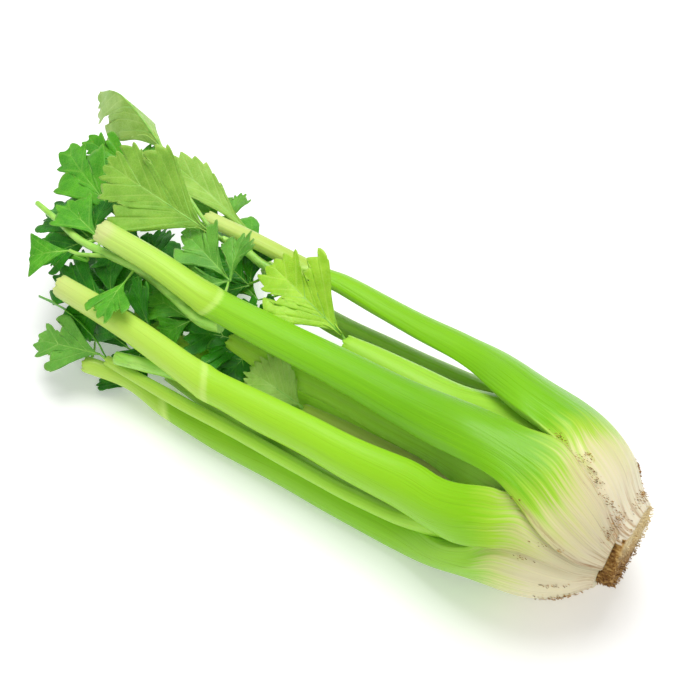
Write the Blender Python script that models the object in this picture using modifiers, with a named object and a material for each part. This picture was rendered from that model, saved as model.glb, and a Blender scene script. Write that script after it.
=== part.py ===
"""Head of celery lying on its side: a root crown, its stalks, side stems and leaflets.

Run it with: blender --background --python part.py

Units are metres with +Z up.  The bunch lies along X with its cut root end toward +X and its
leaves toward -X; -Y is the near side and +Y the far side.  The tables below are in
millimetres, measured from a point on the floor under the middle of the bunch, and the whole
object is moved at the end so that the origin is the middle of the bottom of its box.
"""
import math

import bmesh
import bpy
from mathutils import Matrix, Vector

MM = 0.001

# ---- driving dimensions (millimetres) ------------------------------------------------------
ROOT_X = 188.0          # cut root face
AXIS_HEIGHT = 45.0      # height of the crown's axis above the floor
PLATE_RADIUS = 20.0     # trimmed root plate
PLATE_THICKNESS = 9.0
CORE_RADIUS = 9.5       # solid heart of the crown that the stalks grow on
CORE_LENGTH = 30.0
GAP = 0.35              # clearance kept between neighbouring pieces
LEAF_THICKNESS = 0.9
SHEATH_END = 135.0      # the stalk bases are wrapped rings from here to the root
FREE_START = 62.0       # from here on every stalk is free of its neighbours

BACK_HALF_ANGLE = 72.0  # how far round a free stalk's domed back goes, each way
FRONT_SHARE = 0.70      # width of its grooved front against its full width
BACK_POINTS = 7
FRONT_POINTS = 5
BASE_STATIONS = (0, 6, 13, 22, 32, 43, 56, 70, 85, 101, 118)  # steps back from the root plate
FREE_SPACING = 25.0

# Envelope of the wrapped base: x, half width, half height, height of its middle.
BASE_ENVELOPE = [
    (180.0, 24.5, 24.0, 45.0),
    (172.0, 35.5, 34.0, 45.0),
    (160.0, 43.5, 40.5, 45.0),
    (146.0, 48.5, 44.0, 45.4),
    (121.0, 52.0, 45.5, 46.4),
    (98.0, 54.0, 46.0, 47.0),
    (60.0, 55.0, 46.5, 47.2),
]

# Layers of the wrapped base as shares of the envelope: outer face, inner face.
LAYERS = {
    "outer": (1.0, 0.84),
    "inner": (0.81, 0.68),
    "heart": (0.65, 0.50),
}

# ---- stalks --------------------------------------------------------------------------------
# layer, arc of the base in degrees (0 far, 90 up), and the free path:
# x, y, z of the stalk's middle, its width, and the way its ribbed back faces in degrees.
STALKS = {
    "stalk_top": ("outer", (88, 129), [
        (130, -13, 86, 36, 104), (101, -9, 84, 29, 100), (63, -7, 80, 25, 98),
        (25, -3, 77, 24, 96), (-12, -2, 75, 23, 95), (-46, -1, 74, 20, 96),
        (-63, -1, 74, 18, 98), (-99, 1, 79, 15.5, 100), (-138, 2, 82, 14.5, 100)]),
    "stalk_far": ("outer", (22, 87), [
        (130, 31, 87, 32, 55), (101, 42, 74, 26, 50), (65, 49, 66, 22, 48),
        (40, 52, 63, 21, 47), (14, 55, 61, 20, 46), (-14, 58, 61, 17, 46),
        (-27, 57, 62, 15, 48), (-66, 55, 67, 12.5, 52), (-104, 53, 70, 11.5, 55)]),
    "stalk_near_upper": ("outer", (130, 176), [
        (128, -37, 63, 36, 152), (108, -37, 59, 31, 150), (82, -37, 56, 27, 148),
        (54, -37, 54, 24, 147), (25, -36, 53, 22, 146), (-2, -36, 52, 21, 145),
        (-24, -36, 52, 19, 144), (-40, -36, 52, 18, 143), (-95, -30, 55, 15.5, 140),
        (-149, -27, 56, 13.5, 138)]),
    "stalk_near_lower": ("outer", (177, 238), [
        (128, -43, 18, 34, 208), (112, -43, 15, 30, 208), (85, -42, 12, 25, 207),
        (52, -40.5, 10.2, 22, 205), (15, -40, 9.6, 21, 204), (-24, -40, 9.6, 20, 204),
        (-44, -39.5, 10.5, 18, 203), (-70, -38.5, 13.5, 15.5, 198), (-96, -37, 17.5, 13, 190),
        (-121, -44, 22, 11.5, 186)]),
    "stalk_under": ("outer", (239, 298), [
        (125, -10, 8, 34, 268), (85, -12, 7.6, 26, 269), (40, -14, 7, 23, 270),
        (0, -15, 6.7, 21, 270), (-50, -15, 6.4, 17, 270), (-85, -14, 9, 13, 268)]),
    "stalk_far_under": ("outer", (299, 341), [
        (125, 25, 11, 32, 306), (85, 31, 9, 26, 303), (40, 33, 7.6, 23, 300),
        (0, 34, 7, 21, 298), (-50, 35, 7, 17, 296), (-90, 37, 11.5, 13, 296)]),
    "stalk_far_lower": ("outer", (342, 381), [
        (128, 45, 44, 34, 2), (98, 52, 41, 27, 0), (60, 56, 38, 23, -2),
        (20, 56, 37, 21, -3), (-20, 56, 37, 19, -3), (-42, 57, 38, 16, 0),
        (-72, 62, 42, 12, 5)]),
    "inner_stalk_middle": ("inner", (97, 148), [
        (128, -12, 70, 24, 112), (103, -7, 58, 20, 112), (78, -4, 52, 17, 112),
        (50, -3, 50, 15, 112), (19, -2, 50, 14, 112), (-10, -3, 50, 13, 112),
        (-28, -3, 50, 12, 110), (-46, -4, 52, 9, 110)]),
    "inner_stalk_far": ("inner", (44, 95), [
        (128, 18, 68, 22, 70), (101, 25, 63, 18, 66), (74, 26, 60, 16, 64),
        (52, 25, 61, 15, 62), (30, 23, 61, 13.5, 62), (12, 20, 62, 11, 62)]),
    "inner_stalk_near": ("inner", (158, 196), [
        (128, -33, 39, 14, 178), (100, -38, 34, 10, 184), (55, -41, 31.5, 8.5, 188),
        (20, -41, 31.2, 8.5, 188), (-19, -40.5, 31, 8.5, 188), (-50, -41, 30.8, 8.5, 188),
        (-108, -39, 29, 6.5, 188)]),
    "inner_stalk_low": ("inner", (225, 290), [
        (128, -10, 22, 22, 250), (95, -11, 25, 16, 240), (55, -12, 27, 13, 225),
        (10, -12, 29, 12, 200), (-35, -12, 32, 11, 160), (-72, -11, 34, 10, 130),
        (-111, -9, 37, 8.5, 120)]),
    "heart_stalk_near": ("heart", (118, 214), [
        (128, -12, 47, 18, 150), (95, -13, 40, 12, 140), (62, -12, 39, 10, 130),
        (31, -12, 39, 8.5, 125), (9, -14, 40, 7.5, 125)]),
    "heart_stalk_far": ("heart", (-58, 62), [
        (128, 16, 44, 18, 20), (95, 15, 41, 13, 40), (60, 12, 38, 10, 60),
        (28, 8, 37, 8, 70)]),
}

# ---- side stems ----------------------------------------------------------------------------
# Points of each stem's route, and its radius at the start and at the end.
STEMS = {
    "side_stem_top": (3.6, 1.6, [
        (-62, -9, 63.5), (-85, -4, 65.5), (-109, 0, 67), (-132, -1, 68), (-154, -1, 68),
        (-175, 4, 68), (-197, 9, 68)]),
    "side_stem_near": (4.3, 3.8, [
        (-52, -30, 40), (-68, -32, 39.5), (-84, -36, 39), (-99, -40, 38.5)]),
    "side_stem_far": (3.5, 2.1, [
        (-30, 49, 52), (-48, 49, 56.5), (-62, 46.5, 61), (-74, 45.5, 67), (-84, 40.5, 73)]),
    "leaf_stem_high": (1.5, 1.0, [
        (-87, 39.5, 74.5), (-96, 41, 80), (-109, 45, 87), (-120, 50, 92), (-130, 55.5, 95)]),
    "leaf_stem_fan": (1.3, 1.0, [
        (-143.5, -6.5, 66.5), (-149, -9, 66.5), (-155, -9.2, 66)]),
    "side_stem_low": (2.6, 1.8, [
        (-74, -28, 10), (-84, -29, 9), (-94, -32, 7.5)]),
    "leaf_stem_under": (2.2, 1.4, [
        (-88, -15, 10), (-100, -16, 13), (-112, -16, 14)]),
    "leaf_stem_back": (2.2, 1.4, [
        (-93, 37, 14), (-106, 40, 16), (-118, 43, 17)]),
}

# ---- leaflets ------------------------------------------------------------------------------
# stalk end of the blade, its tip, width, roll about its length, bow, and fold of the halves.
BLADE_STATIONS = (0.0, 0.22, 0.48, 0.74, 0.90, 1.0)
BLADE_OUTLINE = [  # 1 - along, half width as a share
    (1.0, 0.07), (0.78, 0.38), (0.52, 0.88), (0.26, 1.0), (0.10, 0.70), (0.0, 0.22)]
LEAFLETS = {
    # high on the far side
    "leaf_crest": ((-141, 65, 90), (-221, 95, 86), 52, -6, 0.20, -62),
    "leaf_broad": ((-88, 36, 79), (-173, 36, 91), 62, -30, 0.05, 4),
    "leaf_far_arching": ((-85, 64, 61), (-150, 72, 80), 20, -10, 0.05, 14),
    "leaf_far_shaded": ((-101, 60, 58), (-132, 75, 62), 22, -20, 0.05, 8),
    "leaf_slim_tips": ((-167, 62, 70), (-202, 61, 78), 18, -30, 0.08, 10),
    # round the top stalk's side stem
    "leaf_fingered": ((-150, 27, 66), (-212, 52, 72), 26, -30, 0.08, 8),
    "leaf_wedge": ((-144, 4, 71), (-176, 12, 74), 20, -12, 0.04, 6),
    "leaf_behind_stem": ((-155, 7, 63), (-195, 18, 58), 26, -20, 0.06, 8),
    "leaf_thin_wedge": ((-147, -5, 58.5), (-187, -3, 51), 12, -30, 0.05, 10),
    "leaf_fan": ((-156, -9.5, 65.5), (-176, -21, 60), 26, -25, 0.05, 6),
    "leaf_shaded_middle": ((-114, 10, 56), (-149, 16, 58), 24, -25, 0.08, 10),
    # between the top stalk and the near upper one
    "leaf_shaded_near": ((-124, 0, 42), (-163, 4, 41), 26, -30, 0.08, 10),
    "leaf_cut_end": ((-125, -14, 47), (-164, -13, 46), 22, -32, 0.05, 6),
    "leaf_over_stem": ((-113, -10, 66), (-105, -37, 66), 25, 10, 0.05, 6),
    "leaf_inner_high": ((-86, 14, 46), (-116, -1, 47), 24, -25, 0.08, 10),
    "leaf_inner_bright": ((-75, -3, 51), (-101, -3, 55), 20, -35, 0.10, 12),
    "leaf_dark_broad": ((-40, 9, 40), (-72, -8, 46), 42, -20, 0.10, 12),
    "leaf_top_node": ((-63, 19, 70), (-96, 27, 79), 28, -25, 0.10, 14),
    "leaf_far_node": ((-66, 38, 49), (-95, 46, 52), 28, -25, 0.08, 10),
    "leaf_far_small": ((-57, 35, 44), (-77, 42, 45), 16, -25, 0.08, 10),
    "leaf_bright": ((9, 23, 65), (-45, 35, 78), 41, -30, 0.10, 14),
    "leaf_heart": ((7, -16, 46), (-25, -14, 49), 26, -25, 0.12, 16),
    # low on the near side
    "leaf_edge_on": ((-109, -38, 31), (-163, -32, 44), 10, 60, 0.08, 6),
    "leaf_left": ((-113, -39, 31.5), (-154, -47, 26), 32, -28, 0.04, 10),
    "leaf_near_back": ((-90, -19, 43), (-136, -19, 38), 20, -62, 0.06, 8),
    "leaf_near_small": ((-129, -27, 24), (-146, -26, 24), 13, -20, 0.06, 8),
    "leaf_low": ((-96, -32, 7), (-118, -40, 5), 11, 0, 0.05, 8),
    # behind and underneath
    "leaf_back_far": ((-75, 63, 42), (-130, 76, 34), 42, 20, 0.10, 12),
    "leaf_back_low": ((-120, 43.5, 16.5), (-166, 50, 12), 36, 10, 0.10, 10),
    "leaf_under": ((-114, -16, 14), (-160, -12, 9), 30, 0, 0.08, 10),
}


def smooth_row(rows, x):
    """Values of a table at x on a smooth curve through its rows, which run down in x."""
    if x >= rows[0][0]:
        return rows[0][1:]
    if x <= rows[-1][0]:
        return rows[-1][1:]
    i = max(k for k in range(len(rows) - 1) if rows[k][0] >= x)
    a, b = rows[i], rows[i + 1]
    before, after = rows[max(i - 1, 0)], rows[min(i + 2, len(rows) - 1)]
    span = b[0] - a[0]
    t = (x - a[0]) / span
    values = []
    for k in range(1, len(a)):
        slope_a = (b[k] - before[k]) / (b[0] - before[0]) * span
        slope_b = (after[k] - a[k]) / (after[0] - a[0]) * span
        values.append((2 * t**3 - 3 * t**2 + 1) * a[k] + (t**3 - 2 * t**2 + t) * slope_a
                      + (3 * t**2 - 2 * t**3) * b[k] + (t**3 - t**2) * slope_b)
    return values


def smooth_step(low, high, x):
    t = min(max((x - low) / (high - low), 0.0), 1.0)
    return t * t * (3 - 2 * t)


def spread(count):
    """Even values from -1 to 1."""
    return [2 * k / (count - 1) - 1 for k in range(count)]


def wrapped_section(x, layer, arc, outer_count, inner_count):
    """Section of a stalk's base: a piece of one of the rings round the crown's axis."""
    half_width, half_height, middle = smooth_row(BASE_ENVELOPE, x)
    points = []
    for share, values in ((LAYERS[layer][0], spread(outer_count)),
                          (LAYERS[layer][1], spread(inner_count)[::-1])):
        margin = math.degrees(GAP / 2 / (share * half_height))
        for u in values:
            turn = (arc[0] + arc[1]) / 2 + u * ((arc[1] - arc[0]) / 2 - margin)
            turn = math.radians(turn)
            points.append((share * half_width * math.cos(turn),
                           middle + share * half_height * math.sin(turn)))
    return points


def free_section(y, z, width, facing, outer_count, inner_count):
    """Section of a free stalk: a crescent with a domed back and a grooved front."""
    half_angle = math.radians(BACK_HALF_ANGLE)
    radius = width / 2 / math.sin(half_angle)
    depth = width * min(max(0.52 - 0.02 * (width - 20), 0.42), 0.78)
    groove = width * min(max(0.06 + 0.012 * (width - 10), 0.03), 0.18)
    turn = math.radians(facing)
    points = []
    for u in spread(outer_count):
        side = radius * math.sin(half_angle * u)
        height = depth / 2 + radius * (math.cos(half_angle * u) - 1)
        points.append((side, height))
    for u in spread(inner_count)[::-1]:
        side = FRONT_SHARE * width / 2 * u
        height = -depth / 2 + groove * (1 - u * u)
        points.append((side, height))
    return [(y - side * math.sin(turn) + height * math.cos(turn),
             z + side * math.cos(turn) + height * math.sin(turn)) for side, height in points]


def stalk_section(x, layer, arc, path):
    """Section at x: wrapped at the base, free beyond it, and a blend in between."""
    wrapped = wrapped_section(x, layer, arc, BACK_POINTS, FRONT_POINTS)
    free = free_section(*smooth_row(path, x), BACK_POINTS, FRONT_POINTS)
    share = smooth_step(FREE_START, SHEATH_END, x)
    return [Vector((x, share * w[0] + (1 - share) * f[0], share * w[1] + (1 - share) * f[1])) * MM
            for w, f in zip(wrapped, free)]


def add_object(name, data, material):
    data.materials.append(material)
    item = bpy.data.objects.new(name, data)
    PARTS.objects.link(item)
    item.parent = ORIGIN
    return item


def principled(name, colour, roughness):
    material = bpy.data.materials.new(name)
    material.use_nodes = True
    shader = material.node_tree.nodes["Principled BSDF"]
    shader.inputs["Base Color"].default_value = (*colour, 1)
    shader.inputs["Roughness"].default_value = roughness
    shader.inputs["Metallic"].default_value = 0.0
    return material


def make_stalk(name, layer, arc, path):
    """Loft through the sections of one stalk, closed by a flat cut at each end."""
    start = ROOT_X - PLATE_THICKNESS - GAP
    end = path[-1][0]
    bases = [start - drop for drop in BASE_STATIONS]
    count = round((bases[-1] - end) / FREE_SPACING)
    stations = bases + [bases[-1] + (end - bases[-1]) * (k + 1) / count for k in range(count)]
    mesh = bmesh.new()
    rings = [[mesh.verts.new(point) for point in stalk_section(x, layer, arc, path)]
             for x in stations]
    for ring, following in zip(rings, rings[1:]):
        for k in range(len(ring)):
            n = (k + 1) % len(ring)
            mesh.faces.new((ring[k], ring[n], following[n], following[k]))
    mesh.faces.new(rings[0][::-1])
    mesh.faces.new(rings[-1])
    bmesh.ops.recalc_face_normals(mesh, faces=mesh.faces)
    data = bpy.data.meshes.new(name)
    mesh.to_mesh(data)
    mesh.free()
    data.shade_smooth()
    data.set_sharp_from_angle(angle=math.radians(40))
    return add_object(name, data, stalk_material(name))


def smooth_route(points, steps):
    """Points on a smooth curve through a route, with some steps between each two."""
    route = []
    last = len(points) - 1
    for i in range(last):
        a, b = Vector(points[i]), Vector(points[i + 1])
        slope_a = (b - Vector(points[max(i - 1, 0)])) / (2 if i else 1)
        slope_b = (Vector(points[min(i + 2, last)]) - a) / (2 if i + 1 < last else 1)
        for k in range(steps):
            t = k / steps
            route.append((2 * t**3 - 3 * t**2 + 1) * a + (t**3 - 2 * t**2 + t) * slope_a
                         + (3 * t**2 - 2 * t**3) * b + (t**3 - t**2) * slope_b)
    route.append(Vector(points[last]))
    return route


def make_stem(name, start_radius, end_radius, points):
    """A round stem along a smooth route, tapering to its end."""
    route = smooth_route(points, 2)
    data = bpy.data.curves.new(name, "CURVE")
    data.dimensions = "3D"
    data.bevel_depth = start_radius * MM
    data.bevel_resolution = 1
    data.use_fill_caps = True
    spline = data.splines.new("POLY")
    spline.points.add(len(route) - 1)
    for k, point in enumerate(route):
        share = k / (len(route) - 1)
        spline.points[k].co = (*(point * MM), 1)
        spline.points[k].radius = 1 + share * (end_radius / start_radius - 1)
    return add_object(name, data, stem_material(name))


def leaf_point(base, tip, width, roll, bow, fold, along, across):
    """Point of a blade: along runs from its stalk end to its tip, across from -1 to 1."""
    base, tip = Vector(base), Vector(tip)
    length = (tip - base).length
    axis = (tip - base).normalized()
    side = axis.cross(Vector((0, 0, 1))).normalized()
    turn = Matrix.Rotation(math.radians(roll), 3, axis)
    side = turn @ side
    normal = side.cross(axis)
    rise = math.radians(fold)
    half = width / 2 * smooth_row(BLADE_OUTLINE, 1 - along)[0] * across
    middle = base + axis * (length * along) + normal * (bow * length * math.sin(math.pi * along))
    return middle + side * (half * math.cos(rise)) + normal * (abs(half) * math.sin(rise))


def make_leaflet(name, base, tip, width, roll, bow, fold):
    """A thin blade: an open bowed surface, folded along its midrib, given its thickness."""
    mesh = bmesh.new()
    rows = []
    for along in BLADE_STATIONS:
        row = [mesh.verts.new(leaf_point(base, tip, width, roll, bow, fold, along, across) * MM)
               for across in (-1, 0, 1)]
        rows.append(row)
    for row, following in zip(rows, rows[1:]):
        for k in (0, 1):
            mesh.faces.new((row[k], row[k + 1], following[k + 1], following[k]))
    data = bpy.data.meshes.new(name)
    mesh.to_mesh(data)
    mesh.free()
    item = add_object(name, data, leaf_material(name))
    wall = item.modifiers.new("thickness", "SOLIDIFY")
    wall.thickness = LEAF_THICKNESS * MM
    wall.offset = 0
    return item


def make_crown():
    """The trimmed root plate and the core above it, one turned body along X."""
    profile = [(0, 0), (PLATE_RADIUS - 1.5, 0), (PLATE_RADIUS, -1.5),
               (PLATE_RADIUS + 0.3, -5), (PLATE_RADIUS - 0.5, 0.5 - PLATE_THICKNESS),
               (PLATE_RADIUS - 1, -PLATE_THICKNESS), (CORE_RADIUS, -PLATE_THICKNESS),
               (CORE_RADIUS, -CORE_LENGTH), (CORE_RADIUS - 3, -CORE_LENGTH - 5),
               (0, -CORE_LENGTH - 7)]
    mesh = bmesh.new()
    points = [mesh.verts.new(Vector((radius, 0, height)) * MM) for radius, height in profile]
    for point, following in zip(points, points[1:]):
        mesh.edges.new((point, following))
    data = bpy.data.meshes.new("crown")
    mesh.to_mesh(data)
    mesh.free()
    item = add_object("crown", data, crown_material())
    item.location = Vector((ROOT_X, 0, AXIS_HEIGHT)) * MM
    item.rotation_euler = (0, math.radians(90), 0)
    turned = item.modifiers.new("turned", "SCREW")
    turned.steps = 24
    turned.render_steps = 24
    turned.use_merge_vertices = True
    turned.merge_threshold = 0.00001
    return item


def crown_material():
    return principled("root_tan", (0.45, 0.30, 0.16), 0.85)


def stalk_material(name):
    """Outer stalks are vivid green, inner ones and the heart paler."""
    if name.startswith("heart"):
        return principled(name + "_pale", (0.70, 0.80, 0.38), 0.45)
    if name.startswith("inner"):
        return principled(name + "_light_green", (0.50, 0.70, 0.20), 0.42)
    return principled(name + "_green", (0.36, 0.62, 0.10), 0.40)


def stem_material(name):
    return principled(name + "_green", (0.46, 0.68, 0.20), 0.42)


def leaf_material(name):
    return principled(name + "_leaf", (0.14, 0.42, 0.05), 0.50)


def settle_origin():
    """Move the whole bunch so that the origin is the middle of the bottom of its box."""
    bpy.context.view_layer.update()
    graph = bpy.context.evaluated_depsgraph_get()
    corners = []
    for item in PARTS.objects:
        if item.type != "EMPTY":
            seen = item.evaluated_get(graph)
            mesh = seen.to_mesh()
            corners += [seen.matrix_world @ vertex.co for vertex in mesh.vertices]
            seen.to_mesh_clear()
    low = [min(corner[k] for corner in corners) for k in range(3)]
    high = [max(corner[k] for corner in corners) for k in range(3)]
    ORIGIN.location = (-(low[0] + high[0]) / 2, -(low[1] + high[1]) / 2, -low[2])


for old in list(bpy.data.objects):
    bpy.data.objects.remove(old, do_unlink=True)

PARTS = bpy.data.collections.new("celery")
bpy.context.scene.collection.children.link(PARTS)
ORIGIN = bpy.data.objects.new("origin", None)
PARTS.objects.link(ORIGIN)

make_crown()
for stalk_name, stalk in STALKS.items():
    make_stalk(stalk_name, *stalk)
for stem_name, stem in STEMS.items():
    make_stem(stem_name, *stem)
for leaflet_name, leaflet in LEAFLETS.items():
    make_leaflet(leaflet_name, *leaflet)
settle_origin()
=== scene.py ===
# %% [markdown]
# # A head of celery, lying on its side
#
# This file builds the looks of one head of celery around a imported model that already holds
# its sizes, its collision shapes and its mass.  Every stalk, stem and leaflet here takes the
# place of one plain solid there.  Work through it from top to bottom: each step says what a
# piece is on the real plant, how it could be made, and why this way was chosen.

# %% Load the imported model
import math

import bmesh
import bpy
from mathutils import Matrix, Vector


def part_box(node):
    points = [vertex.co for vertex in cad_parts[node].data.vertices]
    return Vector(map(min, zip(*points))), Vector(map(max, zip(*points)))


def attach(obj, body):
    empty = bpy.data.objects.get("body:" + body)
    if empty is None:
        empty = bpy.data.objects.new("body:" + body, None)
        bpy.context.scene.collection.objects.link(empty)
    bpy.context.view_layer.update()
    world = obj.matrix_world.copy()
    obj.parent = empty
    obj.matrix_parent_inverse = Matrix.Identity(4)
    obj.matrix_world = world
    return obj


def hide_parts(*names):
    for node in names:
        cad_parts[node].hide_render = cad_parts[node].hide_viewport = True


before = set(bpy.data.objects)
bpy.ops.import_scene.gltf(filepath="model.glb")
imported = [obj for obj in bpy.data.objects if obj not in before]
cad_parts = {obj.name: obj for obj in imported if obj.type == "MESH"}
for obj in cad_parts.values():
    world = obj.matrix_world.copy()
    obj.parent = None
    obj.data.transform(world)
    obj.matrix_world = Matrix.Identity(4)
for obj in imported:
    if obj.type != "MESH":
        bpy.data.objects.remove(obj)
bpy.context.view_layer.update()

# %% [markdown]
# ## One set of measures
#
# The bunch is easiest to think of in millimetres, from a point on the floor under its middle:
# the cut root face is at x = 188, the crown's axis runs 45 above the floor, and the leaves
# point towards -x.  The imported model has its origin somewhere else, so the crown's box tells
# how far to move.  Every point goes through `place`, and nothing else knows about the move.

# %% From the bunch's own measures to the model's frame
MM = 0.001
ROOT_X = 188.0
AXIS_HEIGHT = 45.0

crown_low, crown_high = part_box("crown")
crown_middle = (crown_low + crown_high) / 2
SHIFT = Vector((crown_high.x - ROOT_X * MM, crown_middle.y, crown_middle.z - AXIS_HEIGHT * MM))


def place(point):
    """A point in the bunch's millimetres, as a point of the model's frame in metres."""
    return Vector(point) * MM + SHIFT


print("the bunch sits", [round(v, 4) for v in SHIFT], "from the frame's origin")

# %% [markdown]
# ## Smooth curves through a few rows of numbers
#
# A stalk changes its place, its width and the way it faces as it runs away from the root.
# Each could be a curve object, but a table of a few rows is easier to read and to change.
# `smooth_row` reads such a table at any x on a smooth curve through its rows, `smooth_step`
# fades one thing into another without a kink, and `wave` gives a smooth uneven wavering.

# %% Reading the tables
def smooth_row(rows, x):
    """Values of a table at x on a smooth curve through its rows, which run down in x."""
    if x >= rows[0][0]:
        return list(rows[0][1:])
    if x <= rows[-1][0]:
        return list(rows[-1][1:])
    i = max(k for k in range(len(rows) - 1) if rows[k][0] >= x)
    a, b = rows[i], rows[i + 1]
    before, after = rows[max(i - 1, 0)], rows[min(i + 2, len(rows) - 1)]
    span = b[0] - a[0]
    t = (x - a[0]) / span
    values = []
    for k in range(1, len(a)):
        slope_a = (b[k] - before[k]) / (b[0] - before[0]) * span
        slope_b = (after[k] - a[k]) / (after[0] - a[0]) * span
        values.append((2 * t**3 - 3 * t**2 + 1) * a[k] + (t**3 - 2 * t**2 + t) * slope_a
                      + (3 * t**2 - 2 * t**3) * b[k] + (t**3 - t**2) * slope_b)
    return values


def smooth_step(low, high, x):
    t = min(max((x - low) / (high - low), 0.0), 1.0)
    return t * t * (3 - 2 * t)


def spread(count):
    """Even values from -1 to 1."""
    return [2 * k / (count - 1) - 1 for k in range(count)]


def wave(value, seed):
    """A smooth uneven wavering between about -1 and 1."""
    return (math.sin(value * 1.7 + seed * 2.3) + 0.6 * math.sin(value * 3.9 + seed * 5.1)
            + 0.3 * math.sin(value * 8.3 + seed * 1.3)) / 1.9


print("a third of the way through a fade:", round(smooth_step(0, 9, 3), 3))

# %% [markdown]
# ## Nodes in a few words
#
# Materials and Geometry Nodes are both made of nodes, and a script that sets each socket on a
# line of its own gets long.  `add` makes one node: what is a socket becomes a link, and what
# is a plain value is set on the input.  The short helpers after it stand for the handful of
# nodes that the finishes below use again and again.

# %% Helpers that build nodes
def add(tree, kind, inputs=None, **settings):
    """One node with its settings; inputs maps a socket's name or number to a link or a value."""
    node = tree.nodes.new(kind)
    for name, value in settings.items():
        setattr(node, name, value)
    for name, value in (inputs or {}).items():
        socket = node.inputs[name]
        if isinstance(value, bpy.types.NodeSocket):
            tree.links.new(value, socket)
        else:
            socket.default_value = value
    return node


def calc(tree, operation, *values, clamp=False):
    inputs = dict(enumerate(values))
    return add(tree, "ShaderNodeMath", inputs, operation=operation, use_clamp=clamp).outputs[0]


def fade(tree, value, low, high, start=0.0, end=1.0):
    """The value's smooth passage from low to high, as a number from start to end."""
    inputs = {0: value, 1: low, 2: high, 3: start, 4: end}
    return add(tree, "ShaderNodeMapRange", inputs, interpolation_type="SMOOTHSTEP").outputs[0]


def vector(tree, x=0.0, y=0.0, z=0.0):
    return add(tree, "ShaderNodeCombineXYZ", {0: x, 1: y, 2: z}).outputs[0]


def noise(tree, at, scale, detail=2.0, roughness=0.5):
    inputs = {"Vector": at, "Scale": scale, "Detail": detail, "Roughness": roughness}
    return add(tree, "ShaderNodeTexNoise", inputs).outputs[0]


def attribute(tree, name):
    return add(tree, "ShaderNodeAttribute", attribute_name=name).outputs["Fac"]


def mix(tree, share, first, second, how="MIX"):
    node = add(tree, "ShaderNodeMix", data_type="RGBA", blend_type=how)
    for name, value in ((0, share), (6, first), (7, second)):
        if isinstance(value, bpy.types.NodeSocket):
            tree.links.new(value, node.inputs[name])
        else:
            node.inputs[name].default_value = value
    return node.outputs[2]


def colour(red, green, blue):
    """A colour given as it looks on a screen, 0 to 255, as the shader's linear light."""
    def linear(value):
        value /= 255
        return value / 12.92 if value <= 0.04045 else ((value + 0.055) / 1.055) ** 2.4
    return (linear(red), linear(green), linear(blue), 1.0)


def ramp(tree, value, stops):
    node = add(tree, "ShaderNodeValToRGB", {0: value})
    band = node.color_ramp.elements
    band[0].position, band[0].color = stops[0]
    band[1].position, band[1].color = stops[-1]
    for position, shade in stops[1:-1]:
        band.new(position).color = shade
    return node.outputs[0]


def new_material(name, roughness, **even):
    """A Principled material, the values that are the same all over set on its own sockets."""
    material = bpy.data.materials.new(name)
    material.use_nodes = True
    tree = material.node_tree
    shader = tree.nodes["Principled BSDF"]
    shader.inputs["Roughness"].default_value = roughness
    for socket, value in even.items():
        shader.inputs[socket.replace("_", " ")].default_value = value
    return material, tree, shader


print("mid green on a screen is", [round(v, 3) for v in colour(127, 194, 46)[:3]], "in light")

# %% [markdown]
# ## The tables of the bunch
#
# Thirteen stalks grow from the crown.  At the base they are wrapped round each other like the
# layers of an onion, and the wrapping's outline is one table; farther out each is a free
# trough-shaped stalk with its own path.  Each path row says where the stalk's middle is, how
# wide it is there and which way its rounded back faces, in degrees round the x axis.

# %% Stalk tables, in millimetres and degrees
BASE_ENVELOPE = [  # x, half width, half height, height and sideways place of its middle
    (188.0, 22.0, 21.5, 45.6, 0.8), (184.0, 24.4, 23.6, 46.0, 1.2), (180.0, 28.0, 26.8, 46.2, 1.5),
    (172.0, 37.4, 35.6, 46.4, 1.7), (160.0, 45.6, 42.4, 46.6, 1.8), (146.0, 50.6, 45.8, 47.0, 2.0),
    (121.0, 54.0, 47.0, 48.0, 2.0), (98.0, 56.0, 47.4, 48.6, 2.0), (60.0, 57.0, 47.8, 48.8, 2.0)]
LAYERS = {"outer": (1.0, 0.84), "inner": (0.81, 0.68), "heart": (0.65, 0.50)}
FREE_START, SHEATH_END = 78, 142     # x between which a free stalk turns into a sheath

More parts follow.
